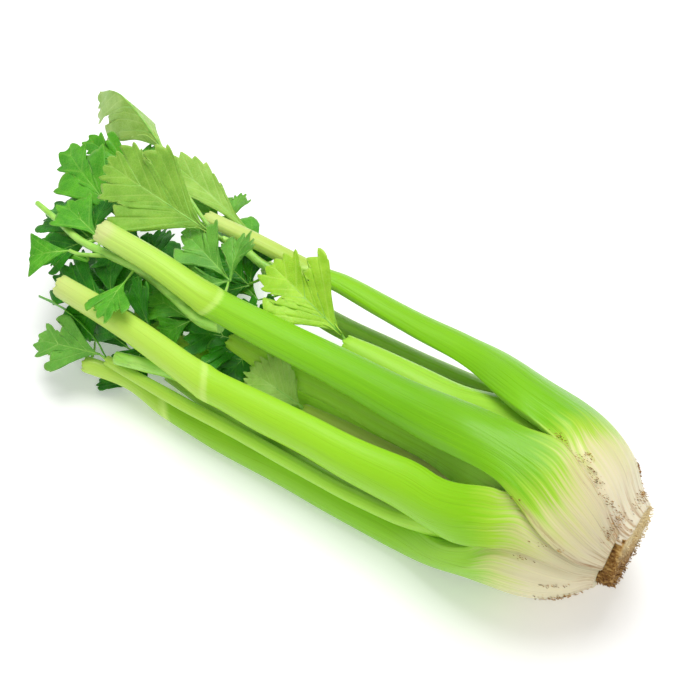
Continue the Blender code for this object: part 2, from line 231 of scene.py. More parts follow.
STALKS = {  # layer, low and high seam, path
    "stalk_top": ("outer", "far_top", "top_near", [
        (135, -11, 86, 34, 106), (101, -9.5, 85, 30, 105), (63, -6.5, 80, 25, 101),
        (25, -3.5, 76.5, 22.5, 98), (-12, -2.5, 75, 21.5, 96), (-46, -1.5, 74, 19.5, 96),
        (-63, -1, 74, 18, 98), (-99, 1, 79, 15.5, 100), (-138, 2, 82, 14.5, 100)]),
    "stalk_far": ("outer", "far_lower_far", "far_top", [
        (135, 27, 87, 42, 66), (118, 32, 82.5, 39, 68), (101, 39.4, 77.4, 34, 69),
        (82, 45.8, 72, 27, 67), (65, 50.3, 67.6, 24, 64),
        (40, 53.3, 64.2, 22, 61), (14, 56, 62.4, 20, 57), (-14, 58.2, 61.8, 17.5, 52),
        (-27, 57, 62, 15, 48), (-66, 55, 67, 12.5, 52), (-104, 53, 70, 11.5, 55)]),
    "stalk_near_upper": ("outer", "top_near", "near_low", [
        (128, -37, 63, 36, 152), (108, -37, 59, 31, 150), (82, -37, 56, 27, 148),
        (54, -37, 54, 24, 147), (25, -36, 53, 22, 146), (-2, -36, 52, 21, 145),
        (-24, -36, 52, 19, 144), (-40, -36, 52, 18, 143), (-95, -30, 55, 15.5, 140),
        (-149, -27, 56, 13.5, 138)]),
    "stalk_near_lower": ("outer", "near_low", "low_under", [
        (128, -41, 20, 32, 200), (112, -41, 17, 30, 190), (85, -38.5, 14, 25, 176),
        (52, -38.5, 13.4, 24, 174), (15, -38, 12.8, 23, 174), (-24, -38.4, 11.4, 20, 178),
        (-44, -38.6, 11.6, 18, 184), (-70, -38.5, 13.5, 15.5, 190), (-96, -37, 17.5, 13, 190),
        (-121, -44, 22, 11.5, 186)]),
    "stalk_under": ("outer", "low_under", "under_far_under", [
        (125, -10, 8, 34, 268), (85, -12, 7.6, 26, 269), (40, -14, 7, 23, 270),
        (0, -15, 6.7, 21, 270), (-50, -15, 6.4, 17, 270), (-85, -14, 9, 13, 268)]),
    "stalk_far_under": ("outer", "under_far_under", "far_under_far_lower", [
        (125, 25, 11, 32, 306), (85, 31, 9, 26, 303), (40, 33, 7.6, 23, 300),
        (0, 34, 7, 21, 298), (-50, 35, 7, 17, 296), (-90, 37, 11.5, 13, 296)]),
    "stalk_far_lower": ("outer", "far_under_far_lower", "far_lower_far", [
        (128, 45, 44, 34, 2), (98, 51, 40, 27, 6), (60, 54, 34, 23, 12),
        (20, 55, 31.5, 21, 14), (-20, 55, 31.5, 19, 12), (-42, 57, 34, 16, 8),
        (-72, 62, 42, 12, 5)]),
    "inner_stalk_middle": ("inner", 97, 148, [
        (128, -12, 70, 24, 112), (103, -7, 58, 20, 112), (78, -4, 52, 17, 112),
        (50, -3, 50, 15, 112), (19, -2, 50, 14, 112), (-10, -3, 50, 13, 112),
        (-28, -3, 50, 12, 110), (-46, -4, 52, 9, 110)]),
    "inner_stalk_far": ("inner", 44, 95, [
        (128, 18, 68, 24, 76), (101, 20, 66, 23, 88), (74, 20, 62, 22, 94),
        (52, 21, 61, 20, 94), (30, 22, 60.5, 17, 92), (12, 22, 61, 12, 88)]),
    "inner_stalk_near": ("inner", 158, 196, [
        (128, -33, 39, 14, 178), (100, -38, 34, 10, 184), (55, -41, 31.5, 8.5, 188),
        (20, -41, 31.2, 8.5, 188), (-19, -40.5, 31, 8.5, 188), (-50, -41, 30.8, 8.5, 188),
        (-108, -39, 29, 6.5, 188)]),
    "inner_stalk_low": ("inner", 225, 290, [
        (128, -10, 22, 22, 250), (95, -5, 25, 22, 190), (55, 1, 26, 24, 135),
        (10, 2, 27, 22, 128), (-35, -4, 30, 16, 128), (-72, -9, 33, 12, 126),
        (-111, -9, 37, 8.5, 120)]),
    "heart_stalk_near": ("heart", 118, 214, [
        (128, -12, 47, 18, 150), (95, -13, 40, 12, 140), (62, -12, 39, 10, 130),
        (31, -12, 39, 8.5, 125), (9, -14, 40, 7.5, 125)]),
    "heart_stalk_far": ("heart", -58, 62, [
        (128, 16, 44, 18, 20), (95, 15, 41, 13, 40), (60, 12, 38, 10, 60),
        (28, 8, 37, 8, 70)]),
}
print(len(STALKS), "stalks in the tables")

# %% [markdown]
# ## Where one sheath laps over the next
#
# Round the bulb each outer stalk widens into a sheath, and one margin of it lies over its
# neighbour.  A seam is the line where that upper margin ends.  Seams could follow one angle
# all the way, but the real ones swing round as they near the root and part farther out, so
# each is a short table.  The last table says, for each seam, which stalk lies on top.

# %% Seams round the bulb
SEAMS = {  # x, angle where the sheath before the seam ends, angle where the next begins
    "far_top": [(183, 119, 119), (172, 106, 106), (158, 97, 97), (144, 90, 90), (125, 84, 93),
                (97, 78, 95)],
    "top_near": [(183, 166, 166), (170, 153, 153), (155, 142, 142), (141, 132, 132),
                 (125, 124, 130), (97, 119, 148)],
    "near_low": [(183, 178, 178), (168, 162, 162), (150, 156, 156), (134, 162, 162),
                 (118, 170, 174), (104, 174, 182)],
    "low_under": [(183, 242, 242), (140, 240, 242), (118, 226, 248), (97, 216, 254)],
    "under_far_under": [(183, 296, 296), (140, 296, 298), (118, 288, 304), (97, 282, 308)],
    "far_under_far_lower": [(183, 345, 345), (140, 341, 345), (118, 330, 350), (97, 322, 354)],
    "far_lower_far": [(183, 18, 18), (155, 20, 20), (140, 23, 26), (118, 18, 34), (97, 12, 42)],
}
PARTINGS = {"far_top": 144, "top_near": 133, "near_low": 128}    # x where two sheaths part
PARTING = 140            # the same for the others
ON_TOP = {"far_top": "stalk_top", "top_near": "stalk_top", "near_low": "stalk_near_upper",
          "low_under": "stalk_near_lower", "under_far_under": "stalk_far_under",
          "far_under_far_lower": "stalk_far_lower", "far_lower_far": "stalk_far"}
LAP_START, LAP_FULL = -4, 12     # how far past the parting the lap begins and is whole
HIDDEN_LAP = 11.0        # degrees that the lower sheath runs on under the upper one
TUCK = 0.6               # degrees of that which the seam takes back
MARGIN_FADE = 13.0       # degrees over which an upper sheath thins towards its margin
INNER_GAP = 1.0          # degrees left free at each edge of an inner stalk


def arc_at(name, x):
    """Low and high angle of a stalk's sheath, how far each end laps, and whether on top."""
    layer, low, high, path = STALKS[name]
    if layer != "outer":
        return low + INNER_GAP, high - INNER_GAP, 0, 0
    low_angle, high_angle = smooth_row(SEAMS[low], x)[1], smooth_row(SEAMS[high], x)[0]
    if high_angle < low_angle:
        high_angle += 360
    low_lap, high_lap = [
        HIDDEN_LAP * smooth_step(LAP_START, LAP_FULL, x - PARTINGS.get(seam, PARTING))
        for seam in (low, high)]
    low_side = 1 if ON_TOP[low] == name else -1
    high_side = 1 if ON_TOP[high] == name else -1
    if low_side < 0:
        low_angle -= low_lap - TUCK
    if high_side < 0:
        high_angle += high_lap - TUCK
    return low_angle, high_angle, low_side, high_side


print("the top sheath at the root:", [round(v) for v in arc_at("stalk_top", 180)])

# %% [markdown]
# ## A stalk's section
#
# Cut across, a free stalk is a crescent: a rounded back and a grooved front.  Round the bulb
# the same stalk is a slice of a ring.  A curve object could sweep one profile but not change
# it into another, so each stalk is lofted: the same number of points at every station, taken
# from the crescent, from the slice, or from a blend of the two.  The points run along the
# back, round one edge, along the front and round the other edge.

# %% Sections, from slice to crescent
BACK_HALF_ANGLE = 72     # degrees that the rounded back turns each side of its middle
FRONT_SHARE = 0.70       # width of the grooved front, as a share of the stalk's
EDGE_ACROSS, EDGE_DOWN = 0.49, 0.46  # corner of the edge, in shares of width and of depth
BACK_COUNT, EDGE_COUNT, FRONT_COUNT = 81, 4, 25      # points along each side of a section
LIP_RISE, LIP_DEPTH = 0.012, 0.028   # an upper margin: how proud it is, how deep its inside
SINK, SINK_DEPTH = 0.055, 0.105      # a lower margin: how far it sinks, how deep its inside
SHEATH_START, SHEATH_FULL = 100, 140     # x between which the margins begin to lap
EDGE_BULGE = 0.8


def bend(start, corner, end, count):
    """Points strictly between start and end, on a curve pulled towards a corner."""
    points = []
    for k in range(1, count + 1):
        t = k / (count + 1)
        points.append((1 - t) ** 2 * start + 2 * t * (1 - t) * corner + t * t * end)
    return points


def closed_section(back, front, high_corner, low_corner):
    """The whole section from its back, its front and the corners of its two edges."""
    return (back + bend(back[-1], high_corner, front[0], EDGE_COUNT)
            + front + bend(front[-1], low_corner, back[0], EDGE_COUNT))


def wrapped_section(name, x):
    """Slice of the ring round the crown's axis, its margins lapping over or under."""
    half_width, half_height, middle, sideways = smooth_row(BASE_ENVELOPE, x)
    outer, inner = LAYERS[STALKS[name][0]]
    low, high, low_side, high_side = arc_at(name, x)
    lapped = smooth_step(SHEATH_START, SHEATH_FULL, x)

    def at(angle, share):
        turn = math.radians(angle)
        return Vector((sideways + share * half_width * math.cos(turn),
                       middle + share * half_height * math.sin(turn)))

    def margins(angle):
        """How near the angle is to an upper margin and to a lower one, 0 to 1 each."""
        over = under = 0.0
        for side, away in ((low_side, angle - low), (high_side, high - angle)):
            if side > 0:
                over = max(over, 1 - smooth_step(0, MARGIN_FADE, away))
            elif side < 0:
                under = max(under, 1 - smooth_step(HIDDEN_LAP - 3, HIDDEN_LAP + 9, away))
        return over * lapped, under * lapped

    back, front = [], []
    for u in spread(BACK_COUNT):
        angle = low + (high - low) * (u + 1) / 2
        over, under = margins(angle)
        back.append(at(angle, outer + LIP_RISE * over - SINK * under))
    for u in spread(FRONT_COUNT)[::-1]:
        angle = low + (high - low) * (u + 1) / 2
        over, under = margins(angle)
        front.append(at(angle, inner + (outer - LIP_DEPTH - inner) * over
                        + (outer - SINK_DEPTH - inner) * under))
    bulge = EDGE_BULGE * smooth_step(0.0, 20.0, high - low)
    high_corner = (back[-1] + front[0]) / 2 + (back[-1] - back[-2]).normalized() * bulge
    low_corner = (back[0] + front[-1]) / 2 + (back[0] - back[1]).normalized() * bulge
    return closed_section(back, front, high_corner, low_corner)


def free_section(y, z, width, facing):
    """Crescent of a free stalk: narrow ones are deep, and wide ones are deeply grooved."""
    half_angle = math.radians(BACK_HALF_ANGLE)
    radius = width / 2 / math.sin(half_angle)
    depth = width * min(max(0.52 - 0.02 * (width - 20), 0.42), 0.78)
    groove = width * min(max(0.06 + 0.012 * (width - 10), 0.03), 0.18)
    back = [Vector((radius * math.sin(half_angle * u),
                    depth / 2 + radius * (math.cos(half_angle * u) - 1)))
            for u in spread(BACK_COUNT)]
    front = [Vector((FRONT_SHARE * width / 2 * u, -depth / 2 + groove * (1 - u * u)))
             for u in spread(FRONT_COUNT)[::-1]]
    section = closed_section(back, front, Vector((width * EDGE_ACROSS, -depth * EDGE_DOWN)),
                             Vector((-width * EDGE_ACROSS, -depth * EDGE_DOWN)))
    turn = math.radians(facing)
    return [Vector((y - p.x * math.sin(turn) + p.y * math.cos(turn),
                    z + p.x * math.cos(turn) + p.y * math.sin(turn))) for p in section]


# x of each stalk's first node, where its side stems leave it
NODES = {"stalk_top": -62, "stalk_far": -27, "stalk_near_upper": -40, "stalk_near_lower": -70,
         "stalk_under": -50, "stalk_far_under": -50, "stalk_far_lower": -42,
         "inner_stalk_middle": -28}
RING_REACH, RING_RISE = 2.4, 0.055           # the ridge of the node itself
SHOULDER_REACH, SHOULDER_RISE = 9.0, 0.05    # and the gentler swelling round it


def swelling(name, x):
    """How much wider a stalk is round its first node."""
    if name not in NODES:
        return 1.0
    away = x - NODES[name]
    ring = math.exp(-(away / RING_REACH) ** 2)
    shoulder = math.exp(-(away / SHOULDER_REACH) ** 2)
    return 1 + RING_RISE * ring + SHOULDER_RISE * shoulder


def stalk_section(name, x):
    """Section at x: wrapped at the base, free beyond it, and a blend in between."""
    share = smooth_step(FREE_START, SHEATH_END, x)
    wrapped = wrapped_section(name, x) if share > 0 else None
    y, z, width, facing = smooth_row(STALKS[name][3], x)
    free = free_section(y, z, width * swelling(name, x), facing)
    if wrapped is None:
        return free
    return [w * share + f * (1 - share) for w, f in zip(wrapped, free)]


print("points round a section:", len(stalk_section("stalk_top", 60)))

# %% [markdown]
# ## The ribs, as Geometry Nodes
#
# A celery stalk's back is ribbed by the strings that run its whole length.  They could be a
# bump in the material, but they show on the outline and in the way light breaks, so they are
# real shape.  The ribs follow one rule over every stalk, which is what Geometry Nodes are for:
# each point moves along its normal by a rounded wave of where it lies across the back, the
# wave wanders a little along the stalk, and the rib's height is kept for the material to read.

# %% Tools for Geometry Nodes trees
def new_tree(name, inputs):
    """An empty tree with a geometry input, named inputs with their values, and one output."""
    tree = bpy.data.node_groups.new(name, "GeometryNodeTree")
    side = tree.interface
    side.new_socket("Geometry", in_out="INPUT", socket_type="NodeSocketGeometry")
    for label, (kind, value) in inputs.items():
        socket = side.new_socket(label, in_out="INPUT", socket_type="NodeSocket" + kind)
        if value is not None:
            socket.default_value = value
    side.new_socket("Geometry", in_out="OUTPUT", socket_type="NodeSocketGeometry")
    return tree, tree.nodes.new("NodeGroupInput").outputs


def end_tree(tree, geometry, material):
    """Every tree ends alike: instances made real, the material set, the result put out."""
    real = add(tree, "GeometryNodeRealizeInstances", {"Geometry": geometry}).outputs[0]
    done = add(tree, "GeometryNodeSetMaterial", {"Geometry": real, "Material": material})
    add(tree, "NodeGroupOutput", {0: done.outputs[0]})


def named(tree, name):
    """The number kept under a name at each point or face."""
    node = add(tree, "GeometryNodeInputNamedAttribute", {"Name": name}, data_type="FLOAT")
    return node.outputs["Attribute"]


def grow(mesh, tree, **values):
    """The plain mesh that a tree makes from a mesh; each value goes to the input it names."""
    item = bpy.data.objects.new("growing", mesh)
    bpy.context.collection.objects.link(item)
    change = item.modifiers.new("tree", "NODES")
    change.node_group = tree
    sockets = {s.name: s.identifier for s in tree.interface.items_tree if s.in_out == "INPUT"}
    for name, value in values.items():
        change[sockets[name.replace("_", " ")]] = value
    graph = bpy.context.evaluated_depsgraph_get()
    result = bpy.data.meshes.new_from_object(item.evaluated_get(graph),
                                             preserve_all_data_layers=True, depsgraph=graph)
    item.modifiers.remove(change)
    bpy.data.objects.remove(item)
    return result


print("new_tree and end_tree make a tree, and grow runs it on a mesh")

# %% The rib tree
RIB_HEIGHT = 0.00024
RIB_UNEVENNESS = 4.5     # how unequal the ribs are in width
RIB_ROUNDNESS = 0.55     # below 1 the ribs are broad and the grooves between them narrow
DENT_DEPTH = 0.0006


def make_rib_tree():
    tree, given = new_tree("stalk ribs", {
        "Rib count": ("Float", 12.0), "Rib height": ("Float", 0.0003),
        "Wander": ("Float", 0.3), "Seed": ("Float", 1.0), "Material": ("Material", None)})
    across, skin = named(tree, "across"), named(tree, "skin")
    position = add(tree, "GeometryNodeInputPosition").outputs[0]
    x = add(tree, "ShaderNodeSeparateXYZ", {0: position}).outputs[0]
    drift = add(tree, "ShaderNodeTexNoise",
                {"Vector": vector(tree, calc(tree, "MULTIPLY", x, 9.0), across, 0.0),
                 "W": given["Seed"], "Scale": 1.3, "Detail": 1.0}, noise_dimensions="4D")
    drift = calc(tree, "MULTIPLY", calc(tree, "SUBTRACT", drift.outputs[0], 0.5), given["Wander"])
    uneven = add(tree, "ShaderNodeTexNoise", {"Vector": vector(tree, 0.0, across, 0.0),
                                              "W": given["Seed"], "Scale": 2.6, "Detail": 2.0},
                 noise_dimensions="4D")
    drift = calc(tree, "ADD", drift, calc(tree, "MULTIPLY", uneven.outputs[0],
                                          RIB_UNEVENNESS))
    turns = calc(tree, "MULTIPLY", calc(tree, "MULTIPLY", across, 0.5), given["Rib count"])
    rounded = calc(tree, "ABSOLUTE", calc(tree, "SINE", calc(
        tree, "MULTIPLY", calc(tree, "ADD", turns, drift), math.pi)))
    rib = calc(tree, "POWER", rounded, RIB_ROUNDNESS)
    strength = add(tree, "ShaderNodeTexNoise",
                   {"Vector": vector(tree, calc(tree, "MULTIPLY", x, 5.0),
                                     calc(tree, "MULTIPLY", across, 3.0), 3.0),
                    "W": given["Seed"], "Scale": 1.0, "Detail": 1.0}, noise_dimensions="4D")
    strength = calc(tree, "MULTIPLY", fade(tree, strength.outputs[0], 0.35, 0.65, 0.15, 1.3),
                    fade(tree, x, 0.095, 0.165, 0.35, 1.0))
    dents = add(tree, "ShaderNodeTexNoise", {"Vector": position, "W": given["Seed"],
                                             "Scale": 30.0, "Detail": 0.0}, noise_dimensions="4D")
    dents = calc(tree, "MULTIPLY", calc(tree, "SUBTRACT", dents.outputs[0], 0.5), DENT_DEPTH)
    lift = calc(tree, "MULTIPLY", calc(tree, "SUBTRACT", rib, 0.8), given["Rib height"])
    lift = calc(tree, "MULTIPLY", calc(tree, "MULTIPLY", lift, strength), skin)
    lift = calc(tree, "ADD", lift, dents)
    normal = add(tree, "GeometryNodeInputNormal").outputs[0]
    offset = add(tree, "ShaderNodeVectorMath", {0: normal, "Scale": lift}, operation="SCALE")
    kept = add(tree, "GeometryNodeStoreNamedAttribute",
               {"Geometry": given["Geometry"], "Name": "rib", "Value": rib},
               data_type="FLOAT", domain="POINT")
    moved = add(tree, "GeometryNodeSetPosition",
                {"Geometry": kept.outputs[0], "Offset": offset.outputs[0]})
    end_tree(tree, moved.outputs[0], given["Material"])
    return tree


RIB_TREE = make_rib_tree()
print("rib tree:", len(RIB_TREE.nodes), "nodes")

# %% [markdown]
# ## The skin of a stalk
#
# Near the root a stalk never sees the sun: it is cream, brownish at the cut, and its strings
# show as fine streaks.  Farther out it turns a vivid yellow-green, with a pale ring at the
# node and a paler rachis beyond.  One colour ramp along x carries this, shifted a little by
# streaks so that no ring is clean.  On top come darker lines of painted shade in the grooves
# between the ribs, brown stains and specks of soil near the margins of the sheath, and a wet
# gloss.  It could be painted on an image, but nodes on Object coordinates need no unwrapping
# and stay sharp close up.

# %% Stalk material
TURN_START, TURN_END = 0.060 + SHIFT.x, 0.130 + SHIFT.x      # where green turns to cream


def stalk_material(name, soil, flank, slant, stops, seed):
    """Skin of one stalk; stops are (x in the bunch's millimetres, colour), root first."""
    material, tree, shader = new_material(
        name, 0.34, Coat_Weight=0.08, Coat_Roughness=0.12, Subsurface_Weight=0.06,
        Subsurface_Scale=0.004, Specular_IOR_Level=0.28)
    spot = add(tree, "ShaderNodeTexCoord").outputs["Object"]
    x = add(tree, "ShaderNodeSeparateXYZ", {0: spot}).outputs[0]
    across, skin = attribute(tree, "across"), attribute(tree, "skin")
    rib = attribute(tree, "rib")
    run = vector(tree, calc(tree, "MULTIPLY", x, 7.0), calc(tree, "MULTIPLY", across, 9.0),
                 calc(tree, "ADD", skin, seed))
    streak = noise(tree, run, 1.6, 4.0, 0.65)
    patch = noise(tree, spot, 24.0, 2.0)
    middle = calc(tree, "SUBTRACT", 1.0, calc(tree, "MULTIPLY", across, across))
    jagged = fade(tree, x, TURN_START, TURN_END, 0.003, 0.040)
    shift = calc(tree, "MULTIPLY", calc(tree, "SUBTRACT", streak, 0.5), jagged)
    shift = calc(tree, "ADD", shift, calc(tree, "MULTIPLY", across, slant))
    shift = calc(tree, "ADD", shift, calc(tree, "MULTIPLY", middle, -flank))
    shift = calc(tree, "ADD", shift,
                 calc(tree, "MULTIPLY", calc(tree, "SUBTRACT", patch, 0.5),
                      fade(tree, x, TURN_START, TURN_END, 0.002, 0.016)))
    start, end = stops[0][0], stops[-1][0]
    along = add(tree, "ShaderNodeMapRange",
                {0: calc(tree, "ADD", x, shift), 1: start * MM + SHIFT.x, 2: end * MM + SHIFT.x,
                 3: 0.0, 4: 1.0}).outputs[0]
    skin_colour = ramp(tree, along, [((start - at) / (start - end), colour(*shade))
                                     for at, shade in stops])
    # painted shade: darker, greener lines in the grooves between the ribs, where their shade falls
    groove = calc(tree, "MULTIPLY", fade(tree, rib, 0.75, 0.15), fade(tree, streak, 0.35, 0.6))
    skin_colour = mix(tree, calc(tree, "MULTIPLY", groove, 0.12), skin_colour,
                      colour(120, 120, 60), "MULTIPLY")
    fine = noise(tree, vector(tree, calc(tree, "MULTIPLY", x, 22.0),
                              calc(tree, "MULTIPLY", across, 34.0), seed), 1.0, 3.0, 0.6)
    skin_colour = mix(tree, fade(tree, fine, 0.52, 0.75, 0.0, 0.22), skin_colour,
                      colour(250, 252, 190), "SOFT_LIGHT")
    skin_colour = mix(tree, fade(tree, fine, 0.46, 0.25, 0.0, 0.16), skin_colour,
                      colour(150, 150, 80), "MULTIPLY")
    # the pale inside of the trough
    inside = calc(tree, "SUBTRACT", 1.0, skin, clamp=True)
    skin_colour = mix(tree, calc(tree, "MULTIPLY", inside, 0.35), skin_colour,
                      colour(206, 226, 140))
    # stains and soil near the margins of the sheath and at the cut
    base = fade(tree, x, 0.112 + SHIFT.x, 0.150 + SHIFT.x)
    edge = fade(tree, calc(tree, "ABSOLUTE", across), 0.62, 1.0)
    cut = fade(tree, x, 0.170 + SHIFT.x, 0.184 + SHIFT.x)
    blot = noise(tree, vector(tree, calc(tree, "MULTIPLY", x, 60.0),
                              calc(tree, "MULTIPLY", across, 14.0), seed + 4.0), 1.0, 5.0, 0.7)
    stain = calc(tree, "MULTIPLY", base, calc(tree, "ADD", calc(tree, "MULTIPLY", edge, 0.55),
                                              calc(tree, "MULTIPLY", cut, 0.7)))
    stain = calc(tree, "MULTIPLY", stain, fade(tree, blot, 0.46, 0.66, 0.0, soil), clamp=True)
    skin_colour = mix(tree, stain, skin_colour, colour(176, 128, 52), "MULTIPLY")
    speck = noise(tree, vector(tree, calc(tree, "MULTIPLY", x, 190.0),
                               calc(tree, "MULTIPLY", across, 46.0), seed + 9.0), 1.0, 3.0, 0.7)
    dirt = calc(tree, "MULTIPLY", fade(tree, speck, 0.66, 0.70),
                fade(tree, blot, 0.50, 0.60), clamp=True)
    dirt = calc(tree, "MULTIPLY", dirt, calc(tree, "MULTIPLY", base, fade(
        tree, edge, 0.05, 0.6, 0.25 * soil, soil)), clamp=True)
    skin_colour = mix(tree, dirt, skin_colour, colour(92, 58, 22))
    tree.links.new(skin_colour, shader.inputs["Base Color"])
    rough = calc(tree, "ADD", fade(tree, fine, 0.2, 0.8, 0.24, 0.42),
                 calc(tree, "MULTIPLY", dirt, 0.4))
    tree.links.new(rough, shader.inputs["Roughness"])
    bump = add(tree, "ShaderNodeBump", {"Strength": 0.30, "Distance": 0.0006,
                                        "Height": calc(tree, "ADD", fine, dirt)})
    tree.links.new(bump.outputs[0], shader.inputs["Normal"])
    return material


CREAM, BONE = (222, 212, 170), (232, 226, 190)
SKINS = {  # soil, how far green runs down the back, its slant, stops from the root outwards
    "stalk_top": (1.0, 0.009, -0.002, [
        (186, (206, 184, 146)), (176, (222, 210, 176)), (160, (222, 214, 162)),
        (149, (208, 214, 130)), (140, (166, 212, 56)), (127, (124, 192, 12)),
        (60, (116, 186, 8)), (0, (130, 202, 20)), (-59, (146, 212, 36)), (-61, (190, 234, 100)),
        (-63, (190, 234, 100)), (-65, (174, 222, 62)), (-100, (186, 232, 84)),
        (-134, (198, 232, 112)), (-140, (212, 226, 140))]),
    "stalk_far": (0.9, 0.002, 0.010, [
        (188, (236, 226, 200)), (172, (234, 224, 184)), (160, (222, 222, 150)),
        (151, (176, 216, 60)), (138, (122, 194, 6)), (40, (132, 200, 14)),
        (-24, (146, 210, 30)), (-26, (200, 236, 110)), (-28, (200, 236, 110)),
        (-30, (180, 216, 74)), (-70, (200, 224, 110)), (-106, (212, 230, 136))]),
    "stalk_near_upper": (0.8, 0.004, -0.004, [
        (186, (212, 200, 166)), (158, (216, 208, 164)), (144, (206, 212, 130)),
        (132, (166, 214, 50)), (118, (140, 206, 14)), (40, (158, 220, 34)), (-37, (168, 224, 46)),
        (-39, (198, 238, 104)), (-41, (198, 238, 104)), (-43, (180, 228, 66)),
        (-110, (194, 230, 92)), (-152, (208, 226, 130))]),
    "stalk_near_lower": (1.2, 0.004, 0.0, [
        (186, (220, 208, 174)), (152, (224, 216, 172)), (140, (206, 216, 128)),
        (126, (146, 206, 22)), (60, (136, 202, 18)), (-65, (146, 206, 26)),
        (-69, (202, 240, 112)), (-74, (172, 220, 64)), (-122, (190, 228, 92))]),
    # painted light: greens brighter than the other outer stalks' to offset the shade it lies in
    "stalk_far_lower": (0.4, 0.0, 0.0, [
        (186, CREAM), (150, (194, 212, 96)), (130, (150, 208, 50)), (0, (150, 206, 60)),
        (-70, (170, 216, 90))]),
    # partly painted light: the inner stalks' own paler green, brightened to offset the shade of
    # the gap they lie in
    "inner": (0.3, 0.0, 0.0, [
        (180, CREAM), (146, (190, 220, 100)), (118, (164, 222, 60)), (0, (168, 226, 62)),
        (-60, (176, 224, 66)), (-112, (178, 222, 80))]),
    "heart": (0.2, 0.0, 0.0, [
        (180, BONE), (110, (226, 222, 150)), (60, (206, 218, 116)), (5, (180, 214, 70))]),
    "under": (0.8, 0.006, 0.0, [
        (186, (216, 200, 160)), (152, CREAM), (136, (194, 212, 96)), (122, (140, 200, 22)),
        (0, (124, 190, 12)), (-48, (140, 202, 30)), (-92, (176, 218, 80))]),
}


def row_for(name, table):
    """A stalk's own row of a table, or the row for its kind."""
    kind = {"i": "inner", "h": "heart"}.get(name[0], "under")
    return table[name if name in table else kind]


print("skins:", ", ".join(SKINS))

# %% [markdown]
# ## Making the stalks
#
# Each stalk is lofted through its stations, closely spaced at the bulb and a little wider
# beyond.  Both ends are closed: a flat cut at the root, and at the far end the ragged cut or
# snap of the real one, where the last rings dip into the pith.  Two numbers are kept at every
# point for the tree and the material: `across`, from margin to margin, and `skin`, which is 1
# on the ribbed back and 0 in the trough.

# %% Loft of a stalk
RIB_COUNTS = {"stalk_top": 8, "stalk_far": 7, "stalk_near_upper": 7, "stalk_near_lower": 8,
              "inner": 6, "heart": 5, "under": 8}
STARTS = {"stalk_far": 187.2, "stalk_top": 182.5, "stalk_near_upper": 181.0,
          "stalk_far_lower": 186.0}      # x of the root ends of the sheaths that reach farthest
FIRST_STATION = 180.5    # and of the others
BULB_END = 90            # x where the stations begin to lie farther apart
BULB_STEP, FREE_STEP = 1.6, 3.2
ROOT_CUT, ROOT_SHRINK = 0.7, 0.10    # how far past the first station, how much smaller
TIP_CUT = [  # how far back from the last station, how much smaller, how ragged
    (0.0, 0.0, 0.8), (-0.3, 0.08, 1.2), (0.5, 0.35, 0.8), (0.9, 0.75, 0.3)]


def new_piece(name, mesh, slot, *nodes):
    """Link a finished mesh as a piece that rides on the root body and replaces its nodes."""
    item = bpy.data.objects.new(name, mesh)
    bpy.context.collection.objects.link(item)
    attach(item, "root")
    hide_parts(*nodes)
    return item


def stalk_stations(name):
    start, end = STARTS.get(name, FIRST_STATION), STALKS[name][3][-1][0]
    bulb = round((start - BULB_END) / BULB_STEP)
    free = round((BULB_END - end) / FREE_STEP)
    return ([start + (BULB_END - start) * k / bulb for k in range(bulb)]
            + [BULB_END + (end - BULB_END) * k / free for k in range(free + 1)])


def loft_stalk(name, seed):
    """Mesh of one stalk with its across and skin values."""
    mesh = bmesh.new()
    across_layer = mesh.verts.layers.float.new("across")
    skin_layer = mesh.verts.layers.float.new("skin")
    acrosses = (spread(BACK_COUNT) + [1.0] * EDGE_COUNT
                + spread(FRONT_COUNT)[::-1] + [-1.0] * EDGE_COUNT)
    skins = [1.0] * BACK_COUNT + [0.4] * EDGE_COUNT + [0.0] * FRONT_COUNT + [0.4] * EDGE_COUNT
    rings = []

    def ring(x, section, shrink=0.0, ragged=0.0):
        centre = sum(section, Vector((0, 0))) / len(section)
        verts = []
        for k, p in enumerate(section):
            q = p.lerp(centre, shrink)
            turn = math.tau * k / len(section)
            vert = mesh.verts.new(place((x + ragged * wave(turn * 2, seed), q.x, q.y)))
            vert[across_layer], vert[skin_layer] = acrosses[k], skins[k]
            verts.append(vert)
        rings.append(verts)

    stations = stalk_stations(name)
    ring(stations[0] + ROOT_CUT, stalk_section(name, stations[0]), ROOT_SHRINK)
    for x in stations[:-1]:
        ring(x, stalk_section(name, x))
    last = stalk_section(name, stations[-1])
    for forward, shrink, ragged in TIP_CUT:
        ring(stations[-1] + forward, last, shrink, ragged)
    for a, b in zip(rings, rings[1:]):
        for k in range(len(a)):
            n = (k + 1) % len(a)
            mesh.faces.new((a[k], a[n], b[n], b[k]))
    for verts in (rings[0], rings[-1]):
        hub = mesh.verts.new(sum((v.co for v in verts), Vector()) / len(verts))
        for k in range(len(verts)):
            mesh.faces.new((verts[k], verts[(k + 1) % len(verts)], hub))
    bmesh.ops.recalc_face_normals(mesh, faces=mesh.faces)
    for face in mesh.faces:
        face.smooth = True
    data = bpy.data.meshes.new(name)
    mesh.to_mesh(data)
    mesh.free()
    return data


print("stations along the top stalk:", len(stalk_stations("stalk_top")))

# %% Grow the ribs and link the stalks
for seed, name in enumerate(STALKS, 1):
    material = stalk_material(name + "_skin", *row_for(name, SKINS), seed * 1.7)
    ribbed = grow(loft_stalk(name, seed), RIB_TREE, Rib_count=float(row_for(name, RIB_COUNTS)),
                  Rib_height=RIB_HEIGHT, Seed=float(seed), Material=material)
    ribbed.name = name
    slot = "outer_stalk" if STALKS[name][0] == "outer" else "inner_stalk"
    new_piece(name + "_ribbed", ribbed, slot, name)
    print(name, len(ribbed.polygons), "faces")

# %% [markdown]
# ## Round stems and veins, swept by Geometry Nodes
#
# Side stems, the short stems of the leaflets and their veins are all the same thing at
# different sizes: a round strand that follows a path and tapers.  A curve object could do it,
# but there are hundreds of them, so one tree does them all.  It takes a mesh of bare edges
# whose points hold a radius, turns the edges into curves, and sweeps a circle along them.

